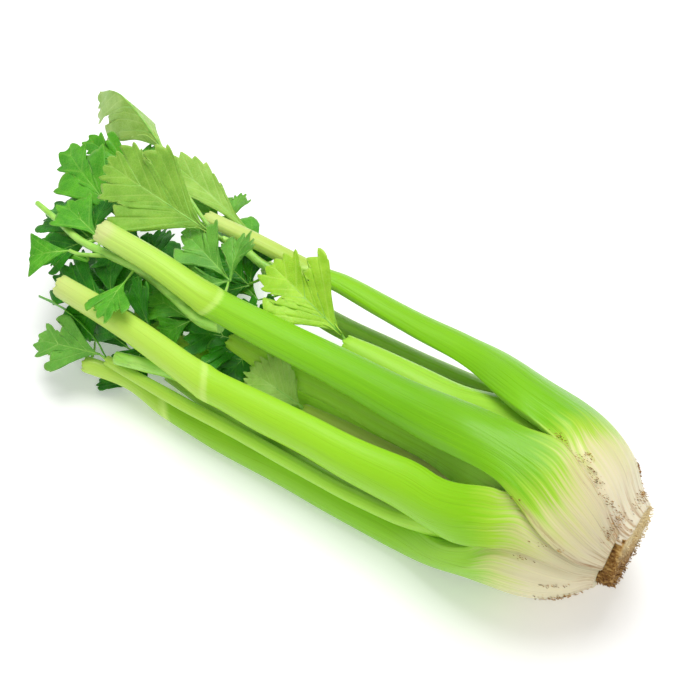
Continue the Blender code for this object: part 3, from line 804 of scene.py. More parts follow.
# %% The sweep tree and the strands that feed it
def make_sweep_tree():
    tree, given = new_tree("round strands", {"Sides": ("Int", 10), "Material": ("Material", None)})
    radius = named(tree, "radius")
    curve = add(tree, "GeometryNodeMeshToCurve", {"Mesh": given["Geometry"]})
    circle = add(tree, "GeometryNodeCurvePrimitiveCircle",
                 {"Resolution": given["Sides"], "Radius": 1.0})
    swept = add(tree, "GeometryNodeCurveToMesh",
                {"Curve": curve.outputs[0], "Profile Curve": circle.outputs[0],
                 "Scale": radius, "Fill Caps": True})
    smooth = add(tree, "GeometryNodeSetShadeSmooth", {"Geometry": swept.outputs[0]})
    end_tree(tree, smooth.outputs[0], given["Material"])
    return tree


SWEEP_TREE = make_sweep_tree()


def smooth_route(points, steps):
    """Points on a smooth curve through a route, with some steps between each two."""
    route = []
    last = len(points) - 1
    for i in range(last):
        a, b = Vector(points[i]), Vector(points[i + 1])
        slope_a = (b - Vector(points[max(i - 1, 0)])) / (2 if i else 1)
        slope_b = (Vector(points[min(i + 2, last)]) - a) / (2 if i + 1 < last else 1)
        for k in range(steps):
            t = k / steps
            route.append((2 * t**3 - 3 * t**2 + 1) * a + (t**3 - 2 * t**2 + t) * slope_a
                         + (3 * t**2 - 2 * t**3) * b + (t**3 - t**2) * slope_b)
    route.append(Vector(points[last]))
    return route


def strands(routes, sides, material):
    """Sweep routes of (point in millimetres, radius in millimetres) into one mesh."""
    mesh = bmesh.new()
    radius_layer = mesh.verts.layers.float.new("radius")
    for route in routes:
        verts = []
        for point, radius in route:
            vert = mesh.verts.new(place(point))
            vert[radius_layer] = radius * MM
            verts.append(vert)
        for a, b in zip(verts, verts[1:]):
            mesh.edges.new((a, b))
    data = bpy.data.meshes.new("strands")
    mesh.to_mesh(data)
    mesh.free()
    return grow(data, SWEEP_TREE, Sides=sides, Material=material)


print("sweep tree:", len(SWEEP_TREE.nodes), "nodes")

# %% [markdown]
# ## The side stems
#
# Each node sends out thinner stems that carry the leaflets.  They leave the stalk thick, with
# a slight collar, and taper to a cut or broken end.  They are pale green with fine streaks.

# %% Stem material
def stem_material(name, near, far):
    material, tree, shader = new_material(
        name, 0.36, Coat_Weight=0.1, Coat_Roughness=0.2, Subsurface_Weight=0.12,
        Subsurface_Scale=0.002)
    spot = add(tree, "ShaderNodeTexCoord").outputs["Object"]
    stretched = add(tree, "ShaderNodeVectorMath", {0: spot, 1: (60.0, 700.0, 700.0)},
                    operation="MULTIPLY").outputs[0]
    streak = noise(tree, stretched, 1.0, 4.0, 0.6)
    patch = noise(tree, spot, 90.0, 2.0)
    shade = mix(tree, fade(tree, patch, 0.35, 0.65), colour(*near), colour(*far))
    shade = mix(tree, fade(tree, streak, 0.5, 0.3, 0.0, 0.4), shade, colour(110, 160, 50),
                "MULTIPLY")
    tree.links.new(shade, shader.inputs["Base Color"])
    bump = add(tree, "ShaderNodeBump", {"Strength": 0.3, "Distance": 0.0003, "Height": streak})
    tree.links.new(bump.outputs[0], shader.inputs["Normal"])
    return material


STEM_SKIN = stem_material("side_stem_skin", (160, 222, 84), (182, 234, 108))
LEAF_STEM_SKIN = stem_material("leaf_stem_skin", (136, 200, 66), (170, 224, 96))

STEMS = {  # start radius, end radius, route
    "side_stem_top": (3.6, 1.6, [(-62, -9, 63.5), (-85, -4, 65.5), (-109, 0, 67),
                                 (-132, -1, 68), (-154, -1, 68), (-175, 4, 68), (-197, 9, 68)]),
    "side_stem_near": (4.3, 3.8, [(-52, -30, 40), (-68, -32, 39.5), (-84, -36, 39),
                                  (-99, -40, 38.5)]),
    "side_stem_far": (3.5, 2.1, [(-30, 49, 52), (-48, 49, 56.5), (-62, 46.5, 61),
                                 (-74, 45.5, 67), (-84, 40.5, 73)]),
    "leaf_stem_high": (1.5, 1.0, [(-87, 39.5, 74.5), (-96, 41, 80), (-109, 45, 87),
                                  (-120, 50, 92), (-130, 55.5, 95)]),
    "leaf_stem_fan": (1.3, 1.0, [(-143.5, -6.5, 66.5), (-149, -9, 66.5), (-155, -9.2, 66)]),
    "side_stem_low": (2.6, 1.8, [(-74, -28, 10), (-84, -29, 9), (-94, -32, 7.5)]),
    "leaf_stem_under": (2.2, 1.4, [(-88, -15, 10), (-100, -16, 13), (-112, -16, 14)]),
    "leaf_stem_back": (2.2, 1.4, [(-93, 37, 14), (-106, 40, 16), (-118, 43, 17)]),
}
STEM_ROOTS = {  # where each stem comes out of its stalk or of another stem
    "side_stem_top": (-48, -8, 66), "side_stem_near": (-40, -31, 44),
    "side_stem_far": (-20, 53, 54), "leaf_stem_high": (-80, 42.5, 70),
    "leaf_stem_fan": (-132, -1.5, 68), "side_stem_low": (-62, -33, 12),
    "leaf_stem_under": (-76, -15, 9), "leaf_stem_back": (-82, 36, 11)}
print(len(STEMS), "side stems in the table")

# %% Sweep the stems
COLLAR = 0.12            # how much thicker a stem is where it leaves the stalk
UNEVEN = 0.035
TIP_LENGTH, TIP_SHARE = 0.4, 0.8     # the rounded last bit: millimetres, share of the radius

for name, (start_radius, end_radius, points) in STEMS.items():
    route = smooth_route([STEM_ROOTS[name]] + points, 6)
    last = len(route) - 1
    sized = []
    for k, point in enumerate(route):
        share = k / last
        collar = 1 + COLLAR * math.exp(-(share * 7) ** 2)
        uneven = 1 + UNEVEN * wave(share * 9, start_radius)
        sized.append((point, (start_radius + (end_radius - start_radius) * share)
                      * collar * uneven))
    tip, before = Vector(sized[-1][0]), Vector(sized[-2][0])
    sized.append((tip + (tip - before).normalized() * TIP_LENGTH, end_radius * TIP_SHARE))
    material = STEM_SKIN if name.startswith("side") else LEAF_STEM_SKIN
    stem = strands([sized], 16, material)
    stem.name = name
    new_piece(name + "_round", stem, "side_stem", name)
    print(name, len(stem.polygons), "faces")

# %% [markdown]
# ## Leaflets: the outline
#
# A celery leaflet is a wedge at its stem and spreads into lobes with coarse, forward-pointing
# teeth.  The outline could be drawn point by point for all thirty, but they share a way of
# growing, so six half outlines are kept as a few points each, and the teeth are added along
# them.  `along` runs from the stem to the tip and `out` from the midrib to the margin.

# %% Half outlines, stem to tip
OUTLINES = {
    "lobed": [(0, 0.02), (0.12, 0.08), (0.26, 0.30), (0.40, 0.68), (0.52, 0.98), (0.60, 1.04),
              (0.66, 0.94), (0.67, 0.74), (0.66, 0.56), (0.72, 0.54), (0.80, 0.66),
              (0.88, 0.66), (0.92, 0.50), (0.91, 0.34), (0.95, 0.28), (0.99, 0.14), (1.0, 0.0)],
    "wedge": [(0, 0.03), (0.15, 0.09), (0.38, 0.30), (0.58, 0.66), (0.72, 1.0), (0.80, 0.98),
              (0.82, 0.66), (0.80, 0.42), (0.90, 0.40), (0.97, 0.24), (1.0, 0.0)],
    "split": [(0, 0.03), (0.15, 0.09), (0.30, 0.30), (0.44, 0.72), (0.56, 1.04), (0.64, 0.98),
              (0.64, 0.66), (0.56, 0.32), (0.68, 0.36), (0.82, 0.52), (0.92, 0.40), (1.0, 0.0)],
    "fan": [(0, 0.04), (0.25, 0.16), (0.50, 0.44), (0.75, 0.74), (0.96, 1.0), (0.99, 0.88),
            (0.98, 0.45), (1.0, 0.0)],
    "slim": [(0, 0.10), (0.20, 0.26), (0.42, 0.62), (0.62, 1.0), (0.78, 0.90), (0.90, 0.50),
             (1.0, 0.0)],
    "round": [(0, 0.08), (0.12, 0.34), (0.26, 0.76), (0.44, 1.0), (0.62, 0.98), (0.78, 0.78),
              (0.90, 0.46), (1.0, 0.0)],
}
BARE_SHARE = {"lobed": 0.24, "wedge": 0.42, "split": 0.34, "fan": 0.80, "slim": 0.30,
              "round": 0.12}      # how much of the margin, from the stem, has no teeth
TOOTH_PEAK = 0.68        # where in its own length a tooth is highest: it leans to the tip
VEIN_EVERY = 3           # one tooth in three has a vein thick enough to stand out
SAMPLES_PER_TOOTH = 7


def half_margin(kind, length, half, teeth, depth, seed):
    """Points (along, out) of a toothed half outline, evenly spaced along the margin."""
    route = smooth_route([(a * length, b * half, 0) for a, b in OUTLINES[kind]], 12)
    lengths = [0.0]
    for p, q in zip(route, route[1:]):
        lengths.append(lengths[-1] + (q - p).length)
    count = teeth * SAMPLES_PER_TOOTH
    bare = BARE_SHARE[kind]
    margin = []
    k = 0
    for i in range(count + 1):
        share = i / count
        want = lengths[-1] * share
        while k < len(lengths) - 2 and lengths[k + 1] < want:
            k += 1
        t = (want - lengths[k]) / max(lengths[k + 1] - lengths[k], 1e-9)
        point = route[k].lerp(route[k + 1], min(max(t, 0), 1))
        tangent = (route[k + 1] - route[k]).normalized()
        tooth, phase = divmod(i / SAMPLES_PER_TOOTH, 1.0)
        rise = phase / TOOTH_PEAK if phase < TOOTH_PEAK else (1 - phase) / (1 - TOOTH_PEAK)
        size = depth * (0.8 + 0.4 * wave(tooth * 2.1, seed))
        size *= smooth_step(bare, bare + 0.14, share) * (1 - 0.7 * smooth_step(0.95, 1, share))
        outward = Vector((-tangent.y, tangent.x, 0))
        point = point + (outward * 0.7 + Vector((0.7, 0, 0))) * size * rise
        if i == count:
            point = Vector((length, 0, 0))
        margin.append((point.x / length, max(point.y, 0.0) / half))
    return margin


print("a lobed half outline has", len(half_margin("lobed", 80, 30, 9, 4, 1)), "points")

# %% [markdown]
# ## Leaflets: bending the blade
#
# Seen flat a blade is only an outline; what makes it a leaf is how it bends.  It bows along
# its length, folds up or down from the midrib, and its margin ripples because it grew more
# than the middle did.  Between the veins it is quilted.  `blade_point` carries a flat point
# there; the same few numbers give the plain solid that the blade stands for.

# %% From flat to bent
def blade_frame(base, tip, roll):
    """The length, and the directions along, sideways and out of a blade."""
    base, tip = Vector(base), Vector(tip)
    axis = (tip - base).normalized()
    side = axis.cross(Vector((0, 0, 1))).normalized()
    side = Matrix.Rotation(math.radians(roll), 3, axis) @ side
    return (tip - base).length, axis, side, side.cross(axis)


def blade_point(shape, along, out, lift=0.0):
    """A flat point (along 0 to 1, out from -1 to 1) on the bent blade, in millimetres."""
    base, tip, width, roll, bow, fold = shape
    length, axis, side, normal = blade_frame(base, tip, roll)
    rise = math.radians(fold)
    half = width / 2 * out
    middle = (Vector(base) + axis * (length * along)
              + normal * (bow * length * math.sin(math.pi * along)))
    return (middle + side * (half * math.cos(rise))
            + normal * (abs(half) * math.sin(rise) + lift))


print("the margin of a plain blade, bent:",
      [round(v, 1) for v in blade_point(((0, 0, 0), (50, 0, 0), 30, 0, 0.1, 10), 0.5, 1)])

# %% [markdown]
# ## Leaflets: the skin
#
# The veins are lighter than the blade between them, which is mottled and crossed by a fine
# net.  The pattern follows the blade, so it reads the blade's own UV map: `u` counts the teeth
# along the margin, and each tooth's vein runs along the middle of its count, and `v` goes
# from the midrib to the margin.  The blade is a little shiny and lets some light through.

# %% Leaf material
def leaf_material(name, deep, mid, pale, roughness=0.42):
    material, tree, shader = new_material(
        name, roughness, Subsurface_Weight=0.08, Subsurface_Scale=0.002,
        Specular_IOR_Level=0.30)
    spot = add(tree, "ShaderNodeTexCoord").outputs["Object"]
    uv = add(tree, "ShaderNodeUVMap", uv_map="blade").outputs[0]
    split = add(tree, "ShaderNodeSeparateXYZ", {0: uv})
    u, v = split.outputs[0], split.outputs[1]
    phase = calc(tree, "SUBTRACT", calc(tree, "FRACT", u), TOOTH_PEAK)
    away = calc(tree, "ABSOLUTE", phase)
    width = fade(tree, v, 0.0, 1.0, 0.15, 0.06)
    vein = calc(tree, "SUBTRACT", 1.0, calc(tree, "DIVIDE", away, width), clamp=True)
    midrib = fade(tree, v, 0.10, 0.0)
    vein = calc(tree, "MAXIMUM", calc(tree, "MULTIPLY", vein, fade(tree, v, 1.0, 0.6, 0.35, 1.0)),
                midrib)
    patch = noise(tree, spot, 75.0, 3.0, 0.6)
    net = add(tree, "ShaderNodeTexVoronoi", {"Vector": spot, "Scale": 620.0},
              feature="DISTANCE_TO_EDGE").outputs[0]
    net = fade(tree, net, 0.10, 0.0)
    blade = mix(tree, fade(tree, patch, 0.32, 0.68), colour(*deep), colour(*mid))
    blade = mix(tree, calc(tree, "MULTIPLY", net, 0.14), blade, colour(*pale))
    blade = mix(tree, calc(tree, "MULTIPLY", vein, 0.26), blade, colour(*pale))
    margin = fade(tree, v, 0.93, 1.0, 0.0, 0.35)
    blade = mix(tree, margin, blade, colour(*pale))
    tree.links.new(blade, shader.inputs["Base Color"])
    tree.links.new(fade(tree, patch, 0.3, 0.7, roughness + 0.08, roughness - 0.08),
                   shader.inputs["Roughness"])
    height = calc(tree, "ADD", calc(tree, "MULTIPLY", net, -0.4),
                  calc(tree, "MULTIPLY", vein, -0.35))
    bump = add(tree, "ShaderNodeBump", {"Strength": 0.5, "Distance": 0.0004, "Height": height})
    tree.links.new(bump.outputs[0], shader.inputs["Normal"])
    return material


LEAF_SKINS = {
    "dark": leaf_material("leaf_dark_skin", (24, 108, 4), (52, 148, 14), (110, 190, 50), 0.36),
    "green": leaf_material("leaf_green_skin", (64, 150, 18), (94, 182, 34), (156, 216, 80), 0.40),
    "shaded": leaf_material("leaf_shaded_skin", (88, 158, 48), (112, 182, 62), (168, 214, 108)),
    "broad": leaf_material("leaf_broad_skin", (118, 172, 50), (142, 194, 66), (192, 226, 116),
                           0.46),
    "pale": leaf_material("leaf_pale_skin", (140, 190, 66), (164, 208, 90), (208, 236, 140), 0.44),
    "bright": leaf_material("leaf_bright_skin", (144, 200, 30), (170, 222, 56),
                            (214, 246, 120), 0.40),
}
print("leaf skins:", ", ".join(LEAF_SKINS))

# %% [markdown]
# ## Leaflets: the table
#
# One row for each leaflet: the ends of its midrib, its width, its roll about its length, its
# bow and its fold, then the outline and how many teeth, how deep, how rippled, and its skin.

# %% Leaflet table, in millimetres and degrees
LEAFLETS = {
    # high on the far side
    "leaf_crest": ((-141, 65, 90), (-221, 95, 86), 58, -6, 0.20, -62, "lobed", 15, 0.38,
                   1.6, "pale"),
    "leaf_broad": ((-86, 33, 83), (-158, 34, 98), 50, -40, 0.05, 10, "lobed", 16, 0.38, 2.0,
                   "broad"),
    "leaf_far_arching": ((-85, 64, 61), (-150, 72, 80), 22, -10, 0.05, 14, "slim", 9, 0.34, 0.8,
                         "pale"),
    "leaf_far_shaded": ((-101, 60, 58), (-132, 75, 62), 26, -20, 0.05, 8, "wedge", 9, 0.20, 0.8,
                        "shaded"),
    "leaf_slim_tips": ((-167, 62, 70), (-202, 61, 78), 22, -30, 0.08, 10, "split", 7, 0.40, 0.6,
                       "green"),
    # round the top stalk's side stem
    "leaf_fingered": ((-150, 27, 66), (-212, 52, 72), 34, -30, 0.08, 8, "split", 8, 0.50, 1.2,
                      "green"),
    "leaf_wedge": ((-144, 4, 71), (-176, 12, 74), 26, -12, 0.04, 6, "wedge", 6, 0.40, 0.6,
                   "green"),
    "leaf_behind_stem": ((-155, 7, 63), (-195, 18, 58), 34, -20, 0.06, 8, "wedge", 7, 0.40, 0.8,
                         "dark"),
    "leaf_thin_wedge": ((-147, -5, 58.5), (-187, -3, 51), 14, -30, 0.05, 10, "slim", 7, 0.20, 0.4,
                        "green"),
    "leaf_fan": ((-156, -9.5, 65.5), (-176, -21, 60), 27, -25, 0.05, 6, "fan", 8, 0.05, 0.6,
                 "green"),
    "leaf_shaded_middle": ((-114, 10, 56), (-149, 16, 58), 34, -25, 0.08, 10, "wedge", 8, 0.40,
                           1.0, "dark"),
    # between the top stalk and the near upper one
    "leaf_shaded_near": ((-124, 0, 42), (-163, 4, 41), 36, -30, 0.08, 10, "split", 8, 0.40, 1.0,
                         "dark"),
    "leaf_cut_end": ((-125, -14, 47), (-164, -13, 46), 32, -32, 0.05, 6, "wedge", 8, 0.40, 0.8,
                     "dark"),
    "leaf_over_stem": ((-113, -10, 66), (-105, -37, 66), 25, 10, 0.05, 6, "wedge", 7, 0.36, 0.8,
                       "green"),
    "leaf_inner_high": ((-86, 14, 46), (-116, -1, 47), 34, -25, 0.08, 10, "split", 8, 0.40, 1.0,
                        "dark"),
    "leaf_inner_bright": ((-75, -3, 51), (-101, -3, 55), 26, -35, 0.10, 12, "wedge", 9, 0.22, 1.2,
                          "green"),
    "leaf_dark_broad": ((-40, 9, 40), (-72, -8, 46), 50, -20, 0.10, 12, "split", 10, 0.40, 2.0,
                        "dark"),
    "leaf_top_node": ((-63, 19, 70), (-96, 27, 79), 30, -25, 0.10, 14, "wedge", 8, 0.40, 1.4,
                      "shaded"),
    "leaf_far_node": ((-66, 38, 49), (-95, 46, 52), 36, -25, 0.08, 10, "wedge", 9, 0.36, 1.2,
                      "dark"),
    "leaf_far_small": ((-57, 35, 44), (-77, 42, 45), 20, -25, 0.08, 10, "wedge", 8, 0.20, 0.8,
                       "green"),
    "leaf_bright": ((9, 23, 65), (-45, 35, 78), 46, -30, 0.10, 14, "split", 14, 0.42, 1.8,
                    "bright"),
    "leaf_heart": ((7, -16, 46), (-25, -14, 49), 28, -25, 0.12, 16, "round", 11, 0.34, 1.8,
                   "pale"),
    # low on the near side
    "leaf_edge_on": ((-109, -38, 31), (-163, -32, 44), 10, 60, 0.08, 6, "slim", 5, 0.2, 0.6,
                     "green"),
    "leaf_left": ((-113, -39, 31.5), (-154, -47, 26), 32, -28, 0.04, 10, "split", 9, 0.36, 1.0,
                  "shaded"),
    "leaf_near_back": ((-90, -19, 43), (-136, -19, 38), 30, -62, 0.06, 8, "wedge", 10, 0.24, 0.8,
                       "dark"),
    "leaf_near_small": ((-129, -27, 24), (-146, -26, 24), 18, -20, 0.06, 8, "wedge", 7, 0.22,
                        0.5, "dark"),
    "leaf_low": ((-96, -32, 7), (-118, -40, 5), 11, 0, 0.05, 8, "wedge", 5, 0.26, 0.5, "dark"),
    # behind and underneath
    "leaf_back_far": ((-75, 63, 42), (-130, 76, 34), 42, 20, 0.10, 12, "lobed", 9, 0.22, 1.6,
                      "green"),
    "leaf_back_low": ((-120, 43.5, 16.5), (-166, 50, 12), 36, 10, 0.10, 10, "lobed", 8, 0.22,
                      1.4, "dark"),
    "leaf_under": ((-114, -16, 14), (-160, -12, 9), 30, 0, 0.08, 10, "lobed", 8, 0.22, 1.2,
                   "dark"),
}
print(len(LEAFLETS), "leaflets")

# %% [markdown]
# ## Leaflets: where each one hangs
#
# A leaflet's short stem comes out of the nearest stalk or side stem on the root side.  Rather
# than thirty more points in a table, the nearest one is looked up among the points that the
# stalks and stems pass through.

# %% Anchors
def anchor_for(base, axis):
    """The point of a stalk or stem from which a leaflet's stem can best reach its base."""
    spots = []
    for *_, path in STALKS.values():
        for k in range(60):
            x = 60 + (path[-1][0] - 60) * k / 59
            y, z = smooth_row(path, x)[:2]
            spots.append(Vector((x, y, z)))
    for *_, points in STEMS.values():
        spots += smooth_route(points, 5)
    base = Vector(base)

    def cost(spot):
        reach = spot - base
        ahead = max(0.0, reach.normalized().dot(axis) + 0.35)
        return reach.length + 45 * ahead

    return min((s for s in spots if (s - base).length > 3), key=cost)


crest_base, crest_tip, _, crest_roll = LEAFLETS["leaf_crest"][:4]
crest_axis = blade_frame(crest_base, crest_tip, crest_roll)[1]
print("the crest leaf hangs from", [round(v) for v in anchor_for(crest_base, crest_axis)])

# %% [markdown]
# ## Leaflets: making one
#
# The blade is a grid: columns run from a foot on the midrib to the margin, so they lie along
# the veins, and rows step out from the midrib.  The grid gets a real thickness, and its
# veins, its midrib and its short stem are strands from the sweep tree, a little proud of it.

# %% Build a leaflet
ROWS = (0.0, 0.10, 0.26, 0.44, 0.62, 0.80, 0.92, 1.0)    # steps from the midrib outwards
GATHER = 0.10            # how far from the stem the feet of the lower veins spread
DEPTH_UNIT = 12.0        # millimetres of a tooth of depth 1
THICKNESS = 0.45
QUILT = 0.0025           # how far the blade rises between its veins, as a share of its width
MIDRIB_STEPS = 14
SIDE_ANGLE, SIDE_SHARE = 58, 0.72    # of the two side leaflets, where leaflets stand in threes
IN_THREES = ("leaf_behind_stem", "leaf_shaded_middle", "leaf_shaded_near", "leaf_cut_end",
             "leaf_inner_high", "leaf_inner_bright", "leaf_dark_broad", "leaf_far_node",
             "leaf_near_back", "leaf_fingered", "leaf_far_shaded", "leaf_top_node")


def baked(item):
    """The plain mesh of an object with its modifiers carried out."""
    graph = bpy.context.evaluated_depsgraph_get()
    return bpy.data.meshes.new_from_object(item.evaluated_get(graph),
                                           preserve_all_data_layers=True, depsgraph=graph)


def make_blade(name, shape, kind, teeth, depth, ripple, seed):
    """The blade's thin mesh with its blade UV map, and the routes of its veins."""
    mesh = bmesh.new()
    uv_layer = mesh.loops.layers.uv.new("blade")
    routes = []
    size = shape[2]
    span = (Vector(shape[1]) - Vector(shape[0])).length

    def bent(along, out, v, phase, side):
        quilt = QUILT * size * math.sin(math.pi * (phase - TOOTH_PEAK)) ** 2
        lift = quilt * 4 * v * (1 - 0.75 * v)
        lift += ripple * v * v * (wave(along * 5.5 + side * 1.9, seed)
                                  + 0.5 * math.sin(phase * math.tau / 9 + seed))
        lift += ripple * 0.6 * wave(along * 3.1, seed + 4)
        return blade_point(shape, along, side * out, lift)

    for side in (-1, 1):
        margin = half_margin(kind, span, size / 2, teeth, depth * DEPTH_UNIT, seed + side)
        last = len(margin) - 1
        grid = []
        for i, (a, b) in enumerate(margin):
            t = i / last
            foot = t * (GATHER + (1 - GATHER) * t * t)
            phase = i / SAMPLES_PER_TOOTH
            grid.append([mesh.verts.new(place(bent(foot + (a - foot) * v, b * v, v, phase, side)))
                         for v in ROWS])
            peak = i % SAMPLES_PER_TOOTH == round(TOOTH_PEAK * SAMPLES_PER_TOOTH)
            if peak and t < 0.97 and (i // SAMPLES_PER_TOOTH) % VEIN_EVERY == 1:
                vein_size = 0.004 * size + 0.16
                routes.append([(bent(foot + (a - foot) * v, b * v, v, phase, side),
                                vein_size * (1 - 0.62 * v)) for v in ROWS[:-1]])
        for i in range(last):
            for j in range(len(ROWS) - 1):
                corners = [(i, j), (i + 1, j), (i + 1, j + 1), (i, j + 1)]
                face = mesh.faces.new([grid[p][q] for p, q in corners][::side])
                for loop, (p, q) in zip(face.loops, corners[::side]):
                    loop[uv_layer].uv = (p / SAMPLES_PER_TOOTH, ROWS[q])
                face.smooth = True
    bmesh.ops.remove_doubles(mesh, verts=mesh.verts, dist=0.00002)
    bmesh.ops.dissolve_degenerate(mesh, edges=mesh.edges, dist=0.00001)
    data = bpy.data.meshes.new(name)
    mesh.to_mesh(data)
    mesh.free()
    midrib = [(bent(k / MIDRIB_STEPS * 0.97, 0, 0, TOOTH_PEAK, 1),
               (0.007 * size + 0.28) * (1 - 0.8 * k / MIDRIB_STEPS))
              for k in range(MIDRIB_STEPS + 1)]
    return data, midrib, routes


def side_shapes(shape):
    """The two smaller leaflets that stand either side of the middle one."""
    base, tip, width, roll, bow, fold = shape
    length, axis, side, _ = blade_frame(base, tip, roll)
    start = Vector(base) - axis * (0.04 * length)
    shapes = []
    for turn in (-1, 1):
        angle = math.radians(SIDE_ANGLE * turn)
        way = axis * math.cos(angle) + side * math.sin(angle)
        shapes.append((start, start + way * (SIDE_SHARE * length), SIDE_SHARE * width, roll,
                       bow, fold))
    return shapes


def thickened(data):
    """The blade's mesh with its two skins and its edge."""
    item = bpy.data.objects.new("thin", data)
    bpy.context.collection.objects.link(item)
    wall = item.modifiers.new("thickness", "SOLIDIFY")
    wall.thickness, wall.offset = THICKNESS * MM, 0.0
    blade = baked(item)
    bpy.data.objects.remove(item)
    return blade


def make_leaflet(name, row, seed):
    """The whole leaflet with its two materials, and how long its stem is."""
    shape, (kind, teeth, depth, ripple, skin) = row[:6], row[6:]
    whole = bmesh.new()
    veins, first_midrib = [], None
    for k, part in enumerate([shape] + (side_shapes(shape) if name in IN_THREES else [])):
        data, midrib, routes = make_blade(name, part, kind, teeth, depth, ripple, seed + 0.4 * k)
        whole.from_mesh(thickened(data))
        veins += routes + ([midrib] if k else [])
        first_midrib = first_midrib or midrib
    body_faces = len(whole.faces)
    root = anchor_for(shape[0], blade_frame(*shape[:2], shape[3])[1])
    base, end_radius = first_midrib[0]
    reach = (base - root).length
    axis = (Vector(shape[1]) - Vector(shape[0])).normalized()
    stem = smooth_route([root, root.lerp(base, 0.5) - axis * reach * 0.12, base], 7)
    thick = min(1.5, 0.6 + 0.012 * shape[2] + 0.01 * reach)
    petiolule = [(p, thick + (end_radius - thick) * (k / (len(stem) - 1)) ** 1.5)
                 for k, p in enumerate(stem)]
    whole.from_mesh(strands([petiolule + first_midrib[1:]] + veins, 7, LEAF_STEM_SKIN))
    for k, face in enumerate(whole.faces):
        face.material_index = 0 if k < body_faces else 1
        face.smooth = True
    result = bpy.data.meshes.new(name)
    whole.to_mesh(result)
    whole.free()
    result.materials.append(LEAF_SKINS[skin])
    result.materials.append(LEAF_STEM_SKIN)
    return result, reach


print("rows across half a blade:", len(ROWS), "and", len(IN_THREES), "leaflets in threes")

# %% Build them all
LIGHT_LEAVES = ("leaf_crest", "leaf_broad", "leaf_far_arching", "leaf_bright", "leaf_heart",
                "leaf_fan", "leaf_left", "leaf_inner_bright", "leaf_top_node")
faces = 0
for seed, (name, row) in enumerate(LEAFLETS.items(), 1):
    mesh, reach = make_leaflet(name, row, seed)
    new_piece(name + "_blade", mesh, "leaf_light" if name in LIGHT_LEAVES else "leaf_dark", name)
    faces += len(mesh.polygons)
    print(name, len(mesh.polygons), "faces, stem", round(reach), "mm")
print("all leaflets:", faces, "faces")

# %% [markdown]
# ## The root plate
#
# Under the bulb is the plate that the stalks and roots grew from, sawn flat when the head was
# cut.  Its rim is a mat of woody fibres and its cut face is pale with a darker middle.  The
# body is turned round the crown's axis from a few rows, as a lathe would, but each point of
# the rim is pushed in or out a little, so that no ring is round.

# %% Plate body
PLATE_ROWS = [  # x, radius, how ragged, from the middle of the cut face to the core's end
    (188.3, 0.0, 0.0), (188.2, 6.0, 0.15), (188.4, 12.0, 0.25), (188.5, 17.0, 0.3),
    (188.4, 19.8, 0.5), (188.0, 20.9, 0.8), (187.0, 21.5, 0.8), (185.6, 21.3, 0.9),
    (184.2, 21.7, 0.9), (182.8, 21.4, 0.9), (181.4, 21.8, 0.9), (180.0, 21.4, 0.9),
    (178.6, 20.6, 0.8), (177.0, 18.5, 0.5), (172.0, 12.0, 0.2), (160.0, 9.0, 0.0),
    (152.0, 6.0, 0.0), (151.0, 0.0, 0.0)]
RIM_ROWS, CUT_FACE_ROWS = range(7, 12), range(2, 7)      # those that fibres grow on
PLATE_TURNS = 180
PLATE_MIDDLE = (0.8, 45.4)


def make_plate():
    mesh = bmesh.new()
    density = mesh.faces.layers.float.new("density")
    rings = []
    for row, (x, radius, ragged) in enumerate(PLATE_ROWS):
        if radius == 0:
            rings.append([mesh.verts.new(place((x, *PLATE_MIDDLE)))])
            continue
        ring = []
        for k in range(PLATE_TURNS):
            turn = math.tau * k / PLATE_TURNS
            fibre = wave(turn * 11, 2) + 0.7 * wave(turn * 29 + row * 0.35, 5)
            r = radius + ragged * 0.55 * fibre + 0.5 * ragged * wave(turn * 3 + row, 7)
            lean = 0.35 * ragged * wave(turn * 17, row)
            ring.append(mesh.verts.new(place((x + lean, PLATE_MIDDLE[0] + r * math.cos(turn),
                                              PLATE_MIDDLE[1] + r * math.sin(turn)))))
        rings.append(ring)
    for row, (a, b) in enumerate(zip(rings, rings[1:])):
        for k in range(PLATE_TURNS):
            n = (k + 1) % PLATE_TURNS
            corners = [a[k % len(a)], a[n % len(a)], b[n % len(b)], b[k % len(b)]]
            face = mesh.faces.new(list(dict.fromkeys(corners)))
            face.smooth = True
            face[density] = (1.0 if row in RIM_ROWS else 0.4 if row in CUT_FACE_ROWS else 0.0)
    bmesh.ops.recalc_face_normals(mesh, faces=mesh.faces)
    data = bpy.data.meshes.new("plate")
    mesh.to_mesh(data)
    mesh.free()
    return data


